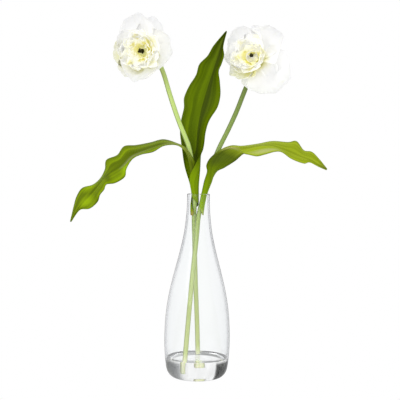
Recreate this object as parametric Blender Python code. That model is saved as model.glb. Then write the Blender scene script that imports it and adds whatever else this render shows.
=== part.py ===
"""Two silk double tulips standing in a clear glass bud vase.

The vase stands on the world origin, +Z up, and the flowers are seen from -Y.
Every size and place below is in millimetres; MM turns it into Blender's metres.
"""
from math import cos, pi, radians, sin, sqrt

import bmesh
import bpy
from mathutils import Matrix, Vector

MM = 0.001
GAP = 0.3

# Vase: outer side from the foot to just under the lip, as (radius, height)
VASE_OUTER = [
    (21.0, 0.0), (27.6, 2.2), (32.2, 8.0), (34.2, 18.0), (35.3, 33.0), (35.4, 50.0), (34.1, 71.0),
    (30.8, 92.5), (25.4, 115.5), (19.4, 138.5), (15.1, 159.0), (13.0, 177.0), (12.2, 190.0),
]
VASE_HEIGHT = 200.0
VASE_WALL = 1.5
VASE_SIDES = 28
FLOOR_HEIGHT = 7.0
FLOOR_CORNER = [(22.0, 7.0), (28.6, 9.2), (31.6, 14.0)]
FILL_LEVEL = 22.5

# Stems: centre lines from the cut end to the flower
STEM_RADIUS = 2.6
STEM_LEFT = [
    (1.2, 25.3, 11.5), (1.0, 24.5, 22), (-0.4, 18.5, 62), (-2.4, 12.3, 104), (-3.6, 7.5, 139), (-4.6, 2.2, 172),
    (-4.3, 0.3, 186), (-3.6, -1.2, 201), (-5.0, -2.6, 214), (-7.2, -4.2, 231), (-10.5, -6, 249),
    (-14.5, -6.2, 260), (-21.6, -5, 277), (-30.8, 0, 303), (-39.6, 6, 331), (-46.4, 9.5, 345),
    (-52.6, 8.3, 352.5),
]
STEM_RIGHT = [
    (-12.9, -18.3, 9.5), (-12.5, -18, 22), (-9.4, -13.8, 65), (-5.6, -9.2, 111), (-1.9, -5.3, 150),
    (-0.2, -3.2, 172), (1.4, -1.8, 181), (3.5, -0.6, 190), (6.1, 0.8, 200), (11.2, 2.8, 218), (19.8, 4.5, 245),
    (37.1, 8, 281.5), (50.2, 12, 315.2), (56.6, 15, 331.5), (60.2, 15.2, 339.5),
]
STEM_STEPS = 30

# Blooms: where the stem meets the flower, and the way the flower faces
BLOOM_LEFT_BASE = (-58.5, -4.0, 353.0)
BLOOM_LEFT_FACING = (-0.33, -0.93, -0.14)
BLOOM_RIGHT_BASE = (59.3, 4.2, 345.2)
BLOOM_RIGHT_FACING = (-0.30, -0.93, 0.21)
STEM_LEAD_IN = 8.0
STEM_TIP = 2.5

# Receptacle: turned about the flower's axis, with a socket at each end
CORE_BOTTOM = -6.0
CORE_TOP = 8.0
CORE_SOCKET_DEPTH = 4.0
CORE_RADII = [(4.3, -6.0), (5.6, -3.0), (6.6, 1.0), (6.4, 5.0), (5.2, 8.0)]
CENTRE_RADIUS = 2.3
CENTRE_TIP = 17.0
STAMEN_REACH = 3.4
STAMEN_COUNT = 6
WELL_RADIUS = 4.7

# Petals: where along them they are widest, and where the tip starts to roll back
WIDEST = 0.55
LIP_START = 0.72

LEAF_THICKNESS = 0.8
PETAL_THICKNESS = 0.6
# Faces across and along one petal of the outer, middle, inner and heart layers
PETAL_GRIDS = [(4, 5), (3, 4), (2, 4), (2, 3)]
LEAF_ROWS = 34
SHEATH_RADIUS = STEM_RADIUS + GAP + LEAF_THICKNESS / 2 + 0.15


def vector(point):
    return Vector(point)


def smooth(points, place):
    """Catmull-Rom curve through the points; place runs from 0 to 1."""
    spans = len(points) - 1
    at = min(max(place, 0.0), 1.0) * spans
    index = min(int(at), spans - 1)
    t = at - index
    p0 = points[max(index - 1, 0)]
    p1 = points[index]
    p2 = points[index + 1]
    p3 = points[min(index + 2, spans)]
    bend = (p2 - p0) * t + (p0 * 2 - p1 * 5 + p2 * 4 - p3) * t ** 2 + (p1 * 3 - p0 - p2 * 3 + p3) * t ** 3
    return p1 + bend / 2


def smooth_line(points, steps):
    return [smooth([vector(p) for p in points], step / steps) for step in range(steps + 1)]


def at_height(points, height):
    """The point of a rising centre line at a height."""
    line = smooth_line(points, 200)
    return min(line, key=lambda p: abs(p.z - height))


def material(name, colour, roughness, alpha=1.0, transmission=0.0):
    """One Principled material; colour is linear RGB."""
    finish = bpy.data.materials.new(name)
    finish.use_nodes = True
    shader = finish.node_tree.nodes["Principled BSDF"]
    shader.inputs["Base Color"].default_value = (*colour, 1.0)
    shader.inputs["Roughness"].default_value = roughness
    shader.inputs["Metallic"].default_value = 0.0
    shader.inputs["Alpha"].default_value = alpha
    shader.inputs["Transmission Weight"].default_value = transmission
    finish.diffuse_color = (*colour, alpha)
    return finish


def new_object(name, mesh, finish=None):
    piece = bpy.data.objects.new(name, mesh)
    bpy.context.scene.collection.objects.link(piece)
    if finish:
        mesh.materials.append(finish)
    return piece


def shade_round(piece, angle=40):
    piece.data.shade_smooth()
    piece.data.set_sharp_from_angle(angle=radians(angle))


def remove(piece):
    bpy.data.objects.remove(piece, do_unlink=True)


def bake_modifiers(piece):
    """Give the piece the mesh that its modifiers make."""
    depsgraph = bpy.context.evaluated_depsgraph_get()
    baked = bpy.data.meshes.new_from_object(piece.evaluated_get(depsgraph))
    piece.modifiers.clear()
    piece.data = baked


def turned(name, profile, sides, finish=None):
    """A solid of revolution about Z; the profile runs down its outer side."""
    mesh = bpy.data.meshes.new(name)
    points = [(radius * MM, 0.0, height * MM) for radius, height in profile]
    edges = [(i, i + 1) for i in range(len(points) - 1)]
    mesh.from_pydata(points, edges, [])
    piece = new_object(name, mesh, finish)
    screw = piece.modifiers.new("turn", "SCREW")
    screw.steps = sides
    screw.render_steps = sides
    screw.use_merge_vertices = True
    screw.merge_threshold = 0.00001
    return piece


def tube(name, points, radius, finish=None, sides=10):
    """A round rod along a line of points, with filled ends; it has an even number of sides."""
    curve = bpy.data.curves.new(name, "CURVE")
    curve.dimensions = "3D"
    curve.bevel_depth = radius * MM
    curve.bevel_resolution = sides // 2 - 2
    curve.use_fill_caps = True
    spline = curve.splines.new("POLY")
    spline.points.add(len(points) - 1)
    for spot, point in zip(spline.points, points):
        spot.co = (*(point * MM), 1.0)
    rod = new_object(name, curve)
    bake = bpy.data.meshes.new_from_object(rod.evaluated_get(bpy.context.evaluated_depsgraph_get()))
    remove(rod)
    mould = bmesh.new()
    mould.from_mesh(bake)
    bmesh.ops.remove_doubles(mould, verts=mould.verts, dist=0.01 * MM)
    bmesh.ops.recalc_face_normals(mould, faces=mould.faces)
    mould.to_mesh(bake)
    mould.free()
    return new_object(name, bake, finish)


def sheet(name, surface, across, along, thickness, finish=None):
    """A thin blade: surface(u, v) with u from -1 to 1 across and v from 0 to 1 along."""
    mould = bmesh.new()
    bmesh.ops.create_grid(mould, x_segments=across, y_segments=along, size=1.0)
    for corner in mould.verts:
        corner.co = surface(corner.co.x, (corner.co.y + 1.0) / 2) * MM
    bmesh.ops.triangulate(mould, faces=mould.faces)
    mesh = bpy.data.meshes.new(name)
    mould.to_mesh(mesh)
    mould.free()
    piece = new_object(name, mesh, finish)
    wall = piece.modifiers.new("thickness", "SOLIDIFY")
    wall.thickness = thickness * MM
    wall.offset = 0.0
    return piece


def boolean(piece, operation, tool=None, collection=None, solver="EXACT"):
    cut = piece.modifiers.new(operation, "BOOLEAN")
    cut.operation = operation
    cut.solver = solver
    if collection:
        cut.operand_type = "COLLECTION"
        cut.collection = collection
    else:
        cut.object = tool
    bake_modifiers(piece)


def keep_largest_body(piece):
    """Drop loose scraps and the walls of hollows that fusing sealed."""
    mould = bmesh.new()
    mould.from_mesh(piece.data)
    unseen = set(mould.verts)
    bodies = []
    while unseen:
        front = [unseen.pop()]
        body = set(front)
        while front:
            corner = front.pop()
            for edge in corner.link_edges:
                other = edge.other_vert(corner)
                if other in unseen:
                    unseen.remove(other)
                    body.add(other)
                    front.append(other)
        bodies.append(body)
    largest = max(bodies, key=len)
    spare = [corner for body in bodies if body is not largest for corner in body]
    bmesh.ops.delete(mould, geom=spare, context="VERTS")
    bmesh.ops.triangulate(mould, faces=mould.faces)
    mould.to_mesh(piece.data)
    mould.free()


# Vase and its clear fill

def vase_outer_radius(height):
    line = smooth_line([(r, 0, z) for r, z in VASE_OUTER], 240)
    if height >= line[-1].z:
        return line[-1].x
    return min(line, key=lambda p: abs(p.z - height)).x


def inner_wall(top):
    """The inside of the vase from the fill's level up to a height."""
    heights = [FILL_LEVEL + (top - FILL_LEVEL) * step / 9 for step in range(10)]
    return [(vase_outer_radius(z) - VASE_WALL, z) for z in heights]


def make_vase():
    lip = VASE_WALL / 2
    mouth = vase_outer_radius(VASE_HEIGHT)
    outer = smooth_line([(r, 0, z) for r, z in VASE_OUTER], 16)
    outside = [(p.x, p.z) for p in reversed(outer)]
    rim = [(mouth - VASE_WALL, VASE_HEIGHT - lip), (mouth - lip, VASE_HEIGHT), (mouth, VASE_HEIGHT - lip)]
    inside = [(0.0, FLOOR_HEIGHT)] + FLOOR_CORNER + inner_wall(VASE_HEIGHT - 10)
    glass = material("clear glass", (0.86, 0.88, 0.88), 0.03, alpha=0.35, transmission=0.9)
    vase = turned("vase", inside + rim + outside + [(0.0, 0.0)], VASE_SIDES, glass)
    shade_round(vase)
    return vase


def make_fill(stem_lines):
    """Clear resin in the foot of the vase, with a plain hole for each stem."""
    corner = [(radius - GAP, height + GAP) for radius, height in FLOOR_CORNER]
    shore = vase_outer_radius(FILL_LEVEL) - VASE_WALL - GAP
    upside = [(0.0, FLOOR_HEIGHT + GAP)] + corner + [(shore, FILL_LEVEL), (0.0, FILL_LEVEL)]
    resin = material("clear resin", (0.80, 0.83, 0.82), 0.05, alpha=0.5, transmission=0.9)
    fill = turned("clear_fill", list(reversed(upside)), VASE_SIDES, resin)
    bake_modifiers(fill)
    for line in stem_lines:
        lowest = line[0] - (line[1] - line[0]).normalized() * GAP
        cutter = tube("stem hole", [lowest] + [p for p in line if p.z < FILL_LEVEL + 12], STEM_RADIUS + GAP)
        boolean(fill, "DIFFERENCE", cutter)
        remove(cutter)
    shade_round(fill)
    return fill


# Stems

def stem_line(route, base, facing):
    """The whole centre line, bent at its top to enter the flower straight."""
    axis = vector(facing).normalized()
    top = [vector(base) - axis * STEM_LEAD_IN, vector(base) - axis * STEM_TIP]
    return smooth_line([*route, *top], STEM_STEPS)


# Leaves: a leaf is lofted through ribs, each a curve across it. The ribs of its foot wrap a stem.

def foot_rib(centre, radius, left, middle, right):
    """Angles in degrees of the left edge, the midrib and the right edge: 0 behind, 90 right, 180 in front."""
    return Vector((*centre, radius, left, middle, right))


def foot_point(rib, u):
    x, y, z, radius, left, middle, right = rib
    side = right if u > 0 else left
    angle = radians(middle + (side - middle) * abs(u))
    return Vector((x + radius * sin(angle), y + radius * cos(angle), z))


def blade_point(rib, u, bulge):
    """A point of the open blade between its midrib and an edge, each half bulged to the front."""
    left, middle, right = rib
    reach = abs(u)
    point = vector(middle).lerp(vector(right if u > 0 else left), reach)
    return point - Vector((0.0, bulge * sin(pi * reach), 0.0))


def lofted(foot, blade, bulge):
    """The leaf's surface, up its foot and then out to its tip."""
    foot_spans = len(foot) - 1
    spans = foot_spans + len(blade)

    def surface(u, v):
        at = v * spans
        if at <= foot_spans:
            return foot_point(smooth(foot, at / foot_spans), u)
        points = [foot_point(rib, u) for rib in foot[-2:]] + [blade_point(rib, u, bulge) for rib in blade]
        return smooth(points, (at - foot_spans + 1) / (len(points) - 1))
    return surface


def leaf_centre(stem):
    """Broad upright leaf; its foot closes round the left stem, with the seam on the left."""
    foot = [
        foot_rib(at_height(stem, 177), 3.7, -165, -140, -115),
        foot_rib(at_height(stem, 180), 4.0, -178, -120, -70),
        foot_rib(at_height(stem, 183), 4.2, -172, -95, -20),
        foot_rib(at_height(stem, 186), 4.3, -155, -55, 40),
        foot_rib(at_height(stem, 189), 4.3, -130, -20, 105),
        foot_rib(at_height(stem, 193), 4.1, -108, 0, 190),
        foot_rib(at_height(stem, 199), 3.8, -92, 0, 243),
        foot_rib(at_height(stem, 211), 4.9, -84, 0, 252),
        foot_rib((-6.5, -1.5, 226), 7.9, -80, -5, 180),
        foot_rib((-7.5, 0.5, 236), 9.3, -75, 0, 140),
    ]
    blade = [
        ((-18, -2, 247), (-3, 10, 248), (4.5, 1, 248.5)),
        ((-20.5, -1, 266), (-1.5, 12, 267), (7, 3, 267)),
        ((-19.5, 4, 280), (0.5, 14, 281.5), (11, 6, 280)),
        ((-16.7, 5, 293), (3, 16, 294), (19.5, 8, 294)),
        ((-16.6, 6, 304), (6.5, 18, 306.5), (22.7, 10, 307.5)),
        ((-11.5, 11, 317), (10, 20, 319), (22, 12, 322)),
        ((-4, 14, 329.5), (14, 22, 332), (20.7, 16, 334)),
        ((-0.5, 16, 341.5), (17.5, 24, 343), (24, 18, 343)),
        ((8.5, 20, 351.5), (20.5, 26, 352.5), (26.5, 21, 352.5)),
        ((15, 23, 363), (24, 28, 364.5), (25.6, 24, 362.5)),
        ((28.2, 28.6, 379.6), (28.9, 29.4, 380.4), (29.6, 28.6, 379.6)),
    ]
    return lofted(foot, blade, -2.0)


def leaf_left(stem):
    """Drooping leaf; its foot lies on the front of the left stem, inside the centre leaf's foot."""
    foot = [
        foot_rib(at_height(stem, 213), SHEATH_RADIUS, 165, 180, 195),
        foot_rib(at_height(stem, 218), SHEATH_RADIUS, 130, 175, 220),
        foot_rib(at_height(stem, 224), SHEATH_RADIUS, 115, 175, 228),
        foot_rib(at_height(stem, 231), SHEATH_RADIUS + 0.3, 118, 180, 232),
    ]
    blade = [
        ((-5.5, -9.5, 237), (-9, -11, 239), (-12.5, -9.5, 241)),
        ((-13.8, -11, 249), (-15.4, -13, 249), (-16.7, -16, 247.4)),
        ((-23.7, -5, 254.3), (-24.1, -10, 253.3), (-24.4, -16, 252)),
        ((-38.5, 3, 258.5), (-37.5, -8, 253), (-37.5, -16, 251)),
        ((-53, 3, 255), (-50.5, -9, 249), (-48.5, -18, 244.5)),
        ((-68.5, 4, 252), (-64, -10, 243), (-61, -21, 241.5)),
        ((-81, 0, 250.5), (-72, -12, 238), (-70, -24, 236.5)),
        ((-88, -4, 241), (-80, -15, 230), (-76, -27, 226.5)),
        ((-99.3, -6, 235.5), (-86.5, -17, 225.7), (-78, -26, 217.5)),
        ((-100.5, -9, 225.5), (-93.5, -19, 221.5), (-88, -25, 211)),
        ((-105, -12, 216), (-99.7, -21, 216), (-96.7, -29, 209.5)),
        ((-112.5, -16, 209), (-105.3, -23, 209), (-99, -32, 204)),
        ((-123.6, -18, 205.3), (-110.4, -25, 202), (-103, -33, 198.5)),
        ((-129.4, -20, 196.3), (-117.4, -27, 194), (-105.7, -32, 191)),
        ((-131.3, -25, 187.4), (-123, -29, 187.5), (-114, -33, 184)),
        ((-132.5, -29, 179.7), (-127.5, -31, 181), (-124, -33, 182.7)),
        ((-134.0, -33.3, 170.6), (-133.4, -34, 170), (-132.6, -34.5, 170.6)),
    ]
    return lofted(foot, blade, 1.2)


def leaf_right(stem):
    """Arching leaf; its foot half wraps the front of the right stem, and its blade turns over once."""
    foot = [
        foot_rib(at_height(stem, 177), 5.0, 125, 108, 91),
        foot_rib(at_height(stem, 184), 4.2, 180, 130, 80),
        foot_rib(at_height(stem, 190), 3.7, 215, 140, 65),
        foot_rib(at_height(stem, 201), SHEATH_RADIUS, 240, 145, 50),
        foot_rib(at_height(stem, 213), 4.6, 238, 145, 55),
    ]
    blade = [
        ((9, -1.5, 224), (13, -4, 223.5), (19.5, -1, 224)),
        ((8.3, -1.5, 231), (15, -6, 232), (27.5, -8, 228.5)),
        ((12.5, -2, 239), (22, -6, 243), (38.5, -14, 235.5)),
        ((22.7, -2.5, 247.5), (33, -4.5, 249), (47, -12, 243)),
        ((34.7, 2, 252.6), (45, -3, 248), (51.6, -9, 243)),
        ((47, 7, 252.5), (55, -2, 250), (62, -10, 241)),
        ((64, 9, 255), (68, -3, 252.5), (70.7, -11, 243)),
        ((80, 8, 258), (80, -4, 252), (81.3, -12, 246)),
        ((96.7, 6, 257), (91.5, -5, 248), (88.7, -13, 245.5)),
        ((106, 4, 258), (101, -6, 244), (99, -12, 238.5)),
        ((113.6, 1, 248.3), (111.7, -8, 239.8), (112, -13, 233.7)),
        ((122, -3, 246.4), (120.3, -9, 236.6), (118, -14, 235)),
        ((130, -7, 238), (128.6, -11, 232), (128, -13, 230.5)),
        ((137.2, -11.4, 228.5), (137.1, -12, 227.8), (136.4, -12.5, 227.1)),
    ]
    return lofted(foot, blade, 1.2)


# Blooms

def bloom_frame(base, facing):
    """Columns: the viewer's right, the viewer's up and the way the flower faces."""
    axis = vector(facing).normalized()
    up = (Vector((0, 0, 1)) - axis * axis.z).normalized()
    right = up.cross(axis)
    frame = Matrix((right, up, axis)).transposed().to_4x4()
    frame.translation = vector(base)
    return frame


def midrib(length, start, lean, curl, lip):
    """Points (radius, height, angle from the flower's axis) up the middle of a petal."""
    steps = 12
    stride = length / steps
    point = Vector((*start, radians(lean)))
    points = [point]
    for step in range(steps):
        v = (step + 0.5) / steps
        rolled = max(0.0, v - LIP_START) / (1.0 - LIP_START)
        angle = radians(lean + (curl - lean) * v + lip * rolled ** 2)
        point = Vector((point.x + stride * sin(angle), point.y + stride * cos(angle), angle))
        points.append(point)
    return points


def petal_surface(frame, turn, length, width, start, lean, curl, cup, wave, phase, lip):
    """A petal that leaves the receptacle at (radius, height) start.

    turn is its place round the flower, counter-clockwise from the viewer's right. lean and curl are
    the angles from the flower's axis at its foot and its tip, lip is how far the tip rolls back, and
    cup is how far its sides close.
    """
    rib = midrib(length, start, lean, curl, lip)
    sides = radians(cup)
    outward = Vector((cos(radians(turn)), sin(radians(turn)), 0.0))
    sideways = Vector((-sin(radians(turn)), cos(radians(turn)), 0.0))
    axis = Vector((0.0, 0.0, 1.0))

    def surface(u, v):
        if v < WIDEST:
            half = 0.22 + 0.78 * sin(pi / 2 * v / WIDEST)
        else:
            half = 1.0 - 0.28 * ((v - WIDEST) / (1.0 - WIDEST)) ** 1.5
        half = half * width / 2
        radius, height, angle = smooth(rib, v * (1.0 - 0.2 * u * u))
        inward = axis * sin(angle) - outward * cos(angle)
        lift = half * (1.0 - cos(sides * u)) / sides
        lift += wave * (u * u * v * sin(6.0 * v + 2.0 * u + phase) + 0.6 * v ** 3 * sin(4.4 * u + 1.7 * phase))
        point = outward * radius + axis * height + sideways * (half * sin(sides * u) / sides)
        return frame @ (point + inward * lift)
    return surface


def make_core(name, frame, finish):
    """The receptacle that carries the petals, with a socket below and one in front."""
    below = STEM_RADIUS + 1.5 * GAP
    above = CENTRE_RADIUS + GAP
    profile = [
        (0.0, CORE_TOP - CORE_SOCKET_DEPTH), (above, CORE_TOP - CORE_SOCKET_DEPTH), (above, CORE_TOP),
        *reversed(CORE_RADII), (below, CORE_BOTTOM), (below, CORE_BOTTOM + CORE_SOCKET_DEPTH),
        (0.0, CORE_BOTTOM + CORE_SOCKET_DEPTH),
    ]
    core = turned(name, profile, 14, finish)
    bake_modifiers(core)
    placed = frame.copy()
    placed.translation = frame.translation * MM
    core.data.transform(placed)
    return core


def make_bloom(name, frame, petals, stem):
    """Receptacle and petals fused in one body, clear of the stem and of the dark centre."""
    silk = material(name + " silk", (0.90, 0.89, 0.80), 0.75)
    bloom = make_core(name, frame, silk)
    group = bpy.data.collections.new(name + " petals")
    bpy.context.scene.collection.children.link(group)
    for layer, (across, along) in zip(petals, PETAL_GRIDS):
        for shape in layer:
            blade = sheet(name + " petal", petal_surface(frame, **shape), across, along, PETAL_THICKNESS)
            bake_modifiers(blade)
            bpy.context.scene.collection.objects.unlink(blade)
            group.objects.link(blade)
    boolean(bloom, "UNION", collection=group, solver="MANIFOLD")
    for blade in list(group.objects):
        remove(blade)
    bpy.data.collections.remove(group)
    well = tube("well", [frame @ Vector((0, 0, h)) for h in (CORE_TOP + GAP, 45)], WELL_RADIUS)
    path = tube("path", [p for p in stem if p.z > stem[-1].z - 40], STEM_RADIUS + 2 * GAP)
    for cutter in (well, path):
        boolean(bloom, "DIFFERENCE", cutter, solver="MANIFOLD")
        remove(cutter)
    keep_largest_body(bloom)
    shade_round(bloom, 50)
    return bloom


def petal(turn, length, width, lean, curl, cup=40, wave=2.0, phase=0.0, start=(5.0, 0.0), lip=0.0):
    return dict(turn=turn, length=length, width=width, start=start, lean=lean, curl=curl, cup=cup, wave=wave,
                phase=phase, lip=lip)


def whorl(count, first, length, width, lean, curl, cup, wave, start, lip=0.0, longer=0.0, towards=0.0):
    """A ring of alike petals, made uneven by a rule; longer is the share by which one side is longer."""
    petals = []
    for index in range(count):
        uneven = sin(index * 2.4 + first)
        turn = first + 360.0 / count * index + 7.0 * uneven
        size = 1.0 + 0.08 * uneven + longer * cos(radians(turn - towards))
        petals.append(petal(turn, length * size, width, lean, curl + 9.0 * uneven, cup, wave,
                            index * 1.9 + first, start, lip))
    return petals


def left_bloom_petals():
    outer = [
        petal(98, 38, 50, 80, 48, cup=45, start=(5.0, -2.0), lip=15),
        petal(66, 33, 36, 86, 72, phase=2.0, start=(5.0, -3.0)),
        petal(10, 37, 52, 80, 44, cup=50, phase=1.0, start=(5.0, -2.0)),
        petal(-50, 19, 26, 86, 60, phase=3.0, start=(5.0, -3.0)),
        petal(-97, 34, 50, 76, 32, cup=50, start=(5.0, -1.5)),
        petal(-140, 32, 36, 84, 60, phase=1.5, start=(5.0, -2.5)),
        petal(-176, 32, 42, 84, 64, phase=3.5, start=(5.0, -2.5)),
        petal(-170, 27, 40, 76, 26, cup=50, phase=0.5, start=(5.0, -1.0)),
        petal(142, 31, 36, 76, 34, cup=46, phase=4.0, start=(5.0, -1.0)),
    ]
    middle = whorl(6, 20, 25, 26, 66, 22, 50, 2.6, (5.0, 2.0), 25, 0.08, 10)
    inner = whorl(5, 42, 19, 19, 60, 8, 45, 2.4, (4.8, 4.0), 20, 0.08, 10)
    heart = whorl(4, 30, 12, 11, 50, -4, 45, 1.6, (4.6, 6.0), 20)
    return outer, middle, inner, heart


def right_bloom_petals():
    outer = [
        petal(40, 40, 54, 78, 36, cup=50, start=(5.0, -1.0), lip=30),
        petal(-43, 57, 62, 82, 46, cup=45, wave=1.5, phase=1.0, start=(5.0, -1.0)),
        petal(-8, 34, 38, 86, 60, phase=2.5, start=(5.0, -3.0)),
        petal(-66, 39, 46, 86, 62, phase=3.0, start=(5.0, -3.0)),
        petal(-128, 31, 36, 80, 32, cup=50, phase=0.5, start=(5.0, -1.5)),
        petal(176, 33, 46, 78, 20, cup=58, phase=1.5, start=(5.0, -2.0)),
        petal(122, 38, 46, 80, 30, cup=52, phase=4.0, start=(5.0, -2.0)),
        petal(84, 34, 36, 84, 50, cup=45, phase=2.0, start=(5.0, -3.0)),
    ]
    middle = whorl(6, 18, 24, 28, 64, 10, 58, 2.0, (5.0, 2.0), 10, 0.22, 165)
    inner = whorl(5, 46, 19, 20, 58, 2, 54, 2.0, (4.8, 4.0), 10, 0.2, 165)
    heart = whorl(4, 70, 12, 11, 44, -26, 48, 1.4, (4.6, 6.0), 10)
    return outer, middle, inner, heart


def make_centre(name, frame):
    """The dark pistil on its peg, with a ring of stamens fused round it."""
    profile = [
        (0.0, CENTRE_TIP), (1.1, CENTRE_TIP - 0.6), (1.7, CENTRE_TIP - 3.0), (1.3, CENTRE_TIP - 6.0),
        (CENTRE_RADIUS, CORE_TOP + 1.0), (CENTRE_RADIUS, CORE_TOP - CORE_SOCKET_DEPTH + GAP),
        (0.0, CORE_TOP - CORE_SOCKET_DEPTH + GAP),
    ]
    dark = material(name + " green", (0.055, 0.05, 0.006), 0.6)
    pistil = turned(name, profile, 10, dark)
    bake_modifiers(pistil)
    placed = frame.copy()
    placed.translation = frame.translation * MM
    pistil.data.transform(placed)
    for index in range(STAMEN_COUNT):
        turn = 2 * pi * index / STAMEN_COUNT
        way = Vector((cos(turn), sin(turn), 0.0))
        foot = frame @ (way * 1.2 + Vector((0, 0, CORE_TOP + 1.2)))
        knee = frame @ (way * 2.6 + Vector((0, 0, CORE_TOP + 4.0)))
        tip = frame @ (way * STAMEN_REACH + Vector((0, 0, CENTRE_TIP - 4.0)))
        stamen = tube("stamen", [foot, knee, tip], 0.65, sides=6)
        boolean(pistil, "UNION", stamen)
        remove(stamen)
    keep_largest_body(pistil)
    shade_round(pistil, 50)
    return pistil


def main():
    for piece in list(bpy.data.objects):
        bpy.data.objects.remove(piece, do_unlink=True)
    left_line = stem_line(STEM_LEFT, BLOOM_LEFT_BASE, BLOOM_LEFT_FACING)
    right_line = stem_line(STEM_RIGHT, BLOOM_RIGHT_BASE, BLOOM_RIGHT_FACING)
    make_vase()
    make_fill([left_line, right_line])
    stem_green = material("stem green", (0.50, 0.60, 0.26), 0.55)
    for name, line in (("stem_left", left_line), ("stem_right", right_line)):
        stem = tube(name, line, STEM_RADIUS, stem_green)
        shade_round(stem)
    leaf_green = material("leaf green", (0.16, 0.25, 0.01), 0.6)
    for name, surface, across in (
        ("leaf_centre", leaf_centre(left_line), 8),
        ("leaf_left", leaf_left(left_line), 6),
        ("leaf_right", leaf_right(right_line), 6),
    ):
        leaf = sheet(name, surface, across, LEAF_ROWS, LEAF_THICKNESS, leaf_green)
        shade_round(leaf, 50)
    for side, base, facing, petals, line in (
        ("left", BLOOM_LEFT_BASE, BLOOM_LEFT_FACING, left_bloom_petals(), left_line),
        ("right", BLOOM_RIGHT_BASE, BLOOM_RIGHT_FACING, right_bloom_petals(), right_line),
    ):
        frame = bloom_frame(base, facing)
        make_bloom(f"bloom_{side}_petals", frame, petals, line)
        make_centre(f"bloom_{side}_centre", frame)


main()
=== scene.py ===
# %% [markdown]
# # Two silk double tulips in a clear glass bud vase
# The model of the flowers is already packed as plain solids, each with a name. This lesson dresses
# them: every solid gets a finer piece in the same place, with a material that looks like glass,
# resin, coated wire or dyed silk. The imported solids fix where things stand, so nothing is fitted by
# eye and each new piece is drawn from the same measurements as its solid.

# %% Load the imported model
from math import cos, pi, radians, sin

import bmesh
import bpy
from mathutils import Matrix, Vector


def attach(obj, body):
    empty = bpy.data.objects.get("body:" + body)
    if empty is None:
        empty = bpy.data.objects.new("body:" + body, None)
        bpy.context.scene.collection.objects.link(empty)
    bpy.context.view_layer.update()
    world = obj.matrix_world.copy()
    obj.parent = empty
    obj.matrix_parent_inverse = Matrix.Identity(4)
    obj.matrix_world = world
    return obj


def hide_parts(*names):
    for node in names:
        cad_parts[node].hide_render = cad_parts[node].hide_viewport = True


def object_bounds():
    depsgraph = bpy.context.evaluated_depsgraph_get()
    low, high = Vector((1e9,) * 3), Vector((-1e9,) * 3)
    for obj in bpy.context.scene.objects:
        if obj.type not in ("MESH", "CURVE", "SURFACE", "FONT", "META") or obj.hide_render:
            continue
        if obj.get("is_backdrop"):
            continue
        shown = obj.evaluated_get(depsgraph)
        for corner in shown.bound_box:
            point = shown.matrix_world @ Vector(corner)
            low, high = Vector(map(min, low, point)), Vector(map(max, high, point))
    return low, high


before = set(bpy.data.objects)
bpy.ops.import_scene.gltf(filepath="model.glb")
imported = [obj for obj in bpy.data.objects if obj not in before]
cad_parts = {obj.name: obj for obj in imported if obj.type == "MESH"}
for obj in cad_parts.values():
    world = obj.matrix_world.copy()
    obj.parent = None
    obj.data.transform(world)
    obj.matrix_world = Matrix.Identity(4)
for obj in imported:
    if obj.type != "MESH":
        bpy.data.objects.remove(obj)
cad_box = [list(corner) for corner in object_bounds()]
print("solids:", ", ".join(sorted(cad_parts)))

# %% [markdown]
# ## The camera
# The photograph was taken from about a metre away with a long lens, just above the lip of the vase,
# and it looks slightly down. A long lens keeps the vase's sides nearly parallel. The camera's matrix
# is built from three directions: its right, its up, and straight back from the subject. A roll of half
# a degree is measured from the vase's axis in the picture.

# %% Place the camera
CAMERA_PLACE = (0.0017, -0.9747, 0.2256)
LENS_MM = 81.0
SENSOR_MM = 36.0
LOOKS_DOWN = radians(1.9)
ROLL = radians(0.59)

ahead = Vector((0.0, cos(LOOKS_DOWN), -sin(LOOKS_DOWN)))
level_right = Vector((1.0, 0.0, 0.0))
level_up = level_right.cross(ahead)
camera_right = level_right * cos(ROLL) + level_up * sin(ROLL)
camera_up = level_up * cos(ROLL) - level_right * sin(ROLL)
turn = Matrix((camera_right, camera_up, -ahead)).transposed().to_4x4()
turn.translation = Vector(CAMERA_PLACE)


def in_scene(name, data):
    """A new object that holds this data, placed in the scene."""
    thing = bpy.data.objects.new(name, data)
    bpy.context.scene.collection.objects.link(thing)
    return thing


view = bpy.data.cameras.new("photo view")
view.lens = LENS_MM
view.sensor_width = SENSOR_MM
view.clip_start = 0.01
camera = in_scene("photo view", view)
camera.matrix_world = turn
bpy.context.scene.camera = camera
print("camera at", CAMERA_PLACE, "with a", LENS_MM, "mm lens")

# %% [markdown]
# ## Measuring in millimetres, and smooth lines
# Small things are easier to think of in millimetres, so every size below is in millimetres and MM
# turns it into Blender's metres. A Catmull-Rom curve passes through each of its points, which makes
# it the natural choice where the points were measured on the real object.

# %% Smooth lines through measured points
MM = 0.001


def smooth(points, place):
    """The point at place, from 0 to 1, on a smooth curve through the points."""
    spans = len(points) - 1
    at = min(max(place, 0.0), 1.0) * spans
    index = min(int(at), spans - 1)
    t = at - index
    before = points[max(index - 1, 0)]
    start = points[index]
    end = points[index + 1]
    after = points[min(index + 2, spans)]
    swing = (end - before) * t
    swing += (before * 2 - start * 5 + end * 4 - after) * t ** 2
    swing += (start * 3 - before - end * 3 + after) * t ** 3
    return start + swing / 2


def smooth_line(points, steps):
    vectors = [Vector(point) for point in points]
    return [smooth(vectors, step / steps) for step in range(steps + 1)]


def smooth_section(pairs, steps):
    """The same for half a round section, given and returned as (radius, height)."""
    line = smooth_line([(radius, 0.0, height) for radius, height in pairs], steps)
    return [(point.x, point.z) for point in line]


def ease(value, low, high):
    """0 below low, 1 above high, and a soft step between them."""
    share = min(max((value - low) / (high - low), 0.0), 1.0)
    return share * share * (3.0 - 2.0 * share)


print("half of a soft step:", ease(0.5, 0.0, 1.0))

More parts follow.
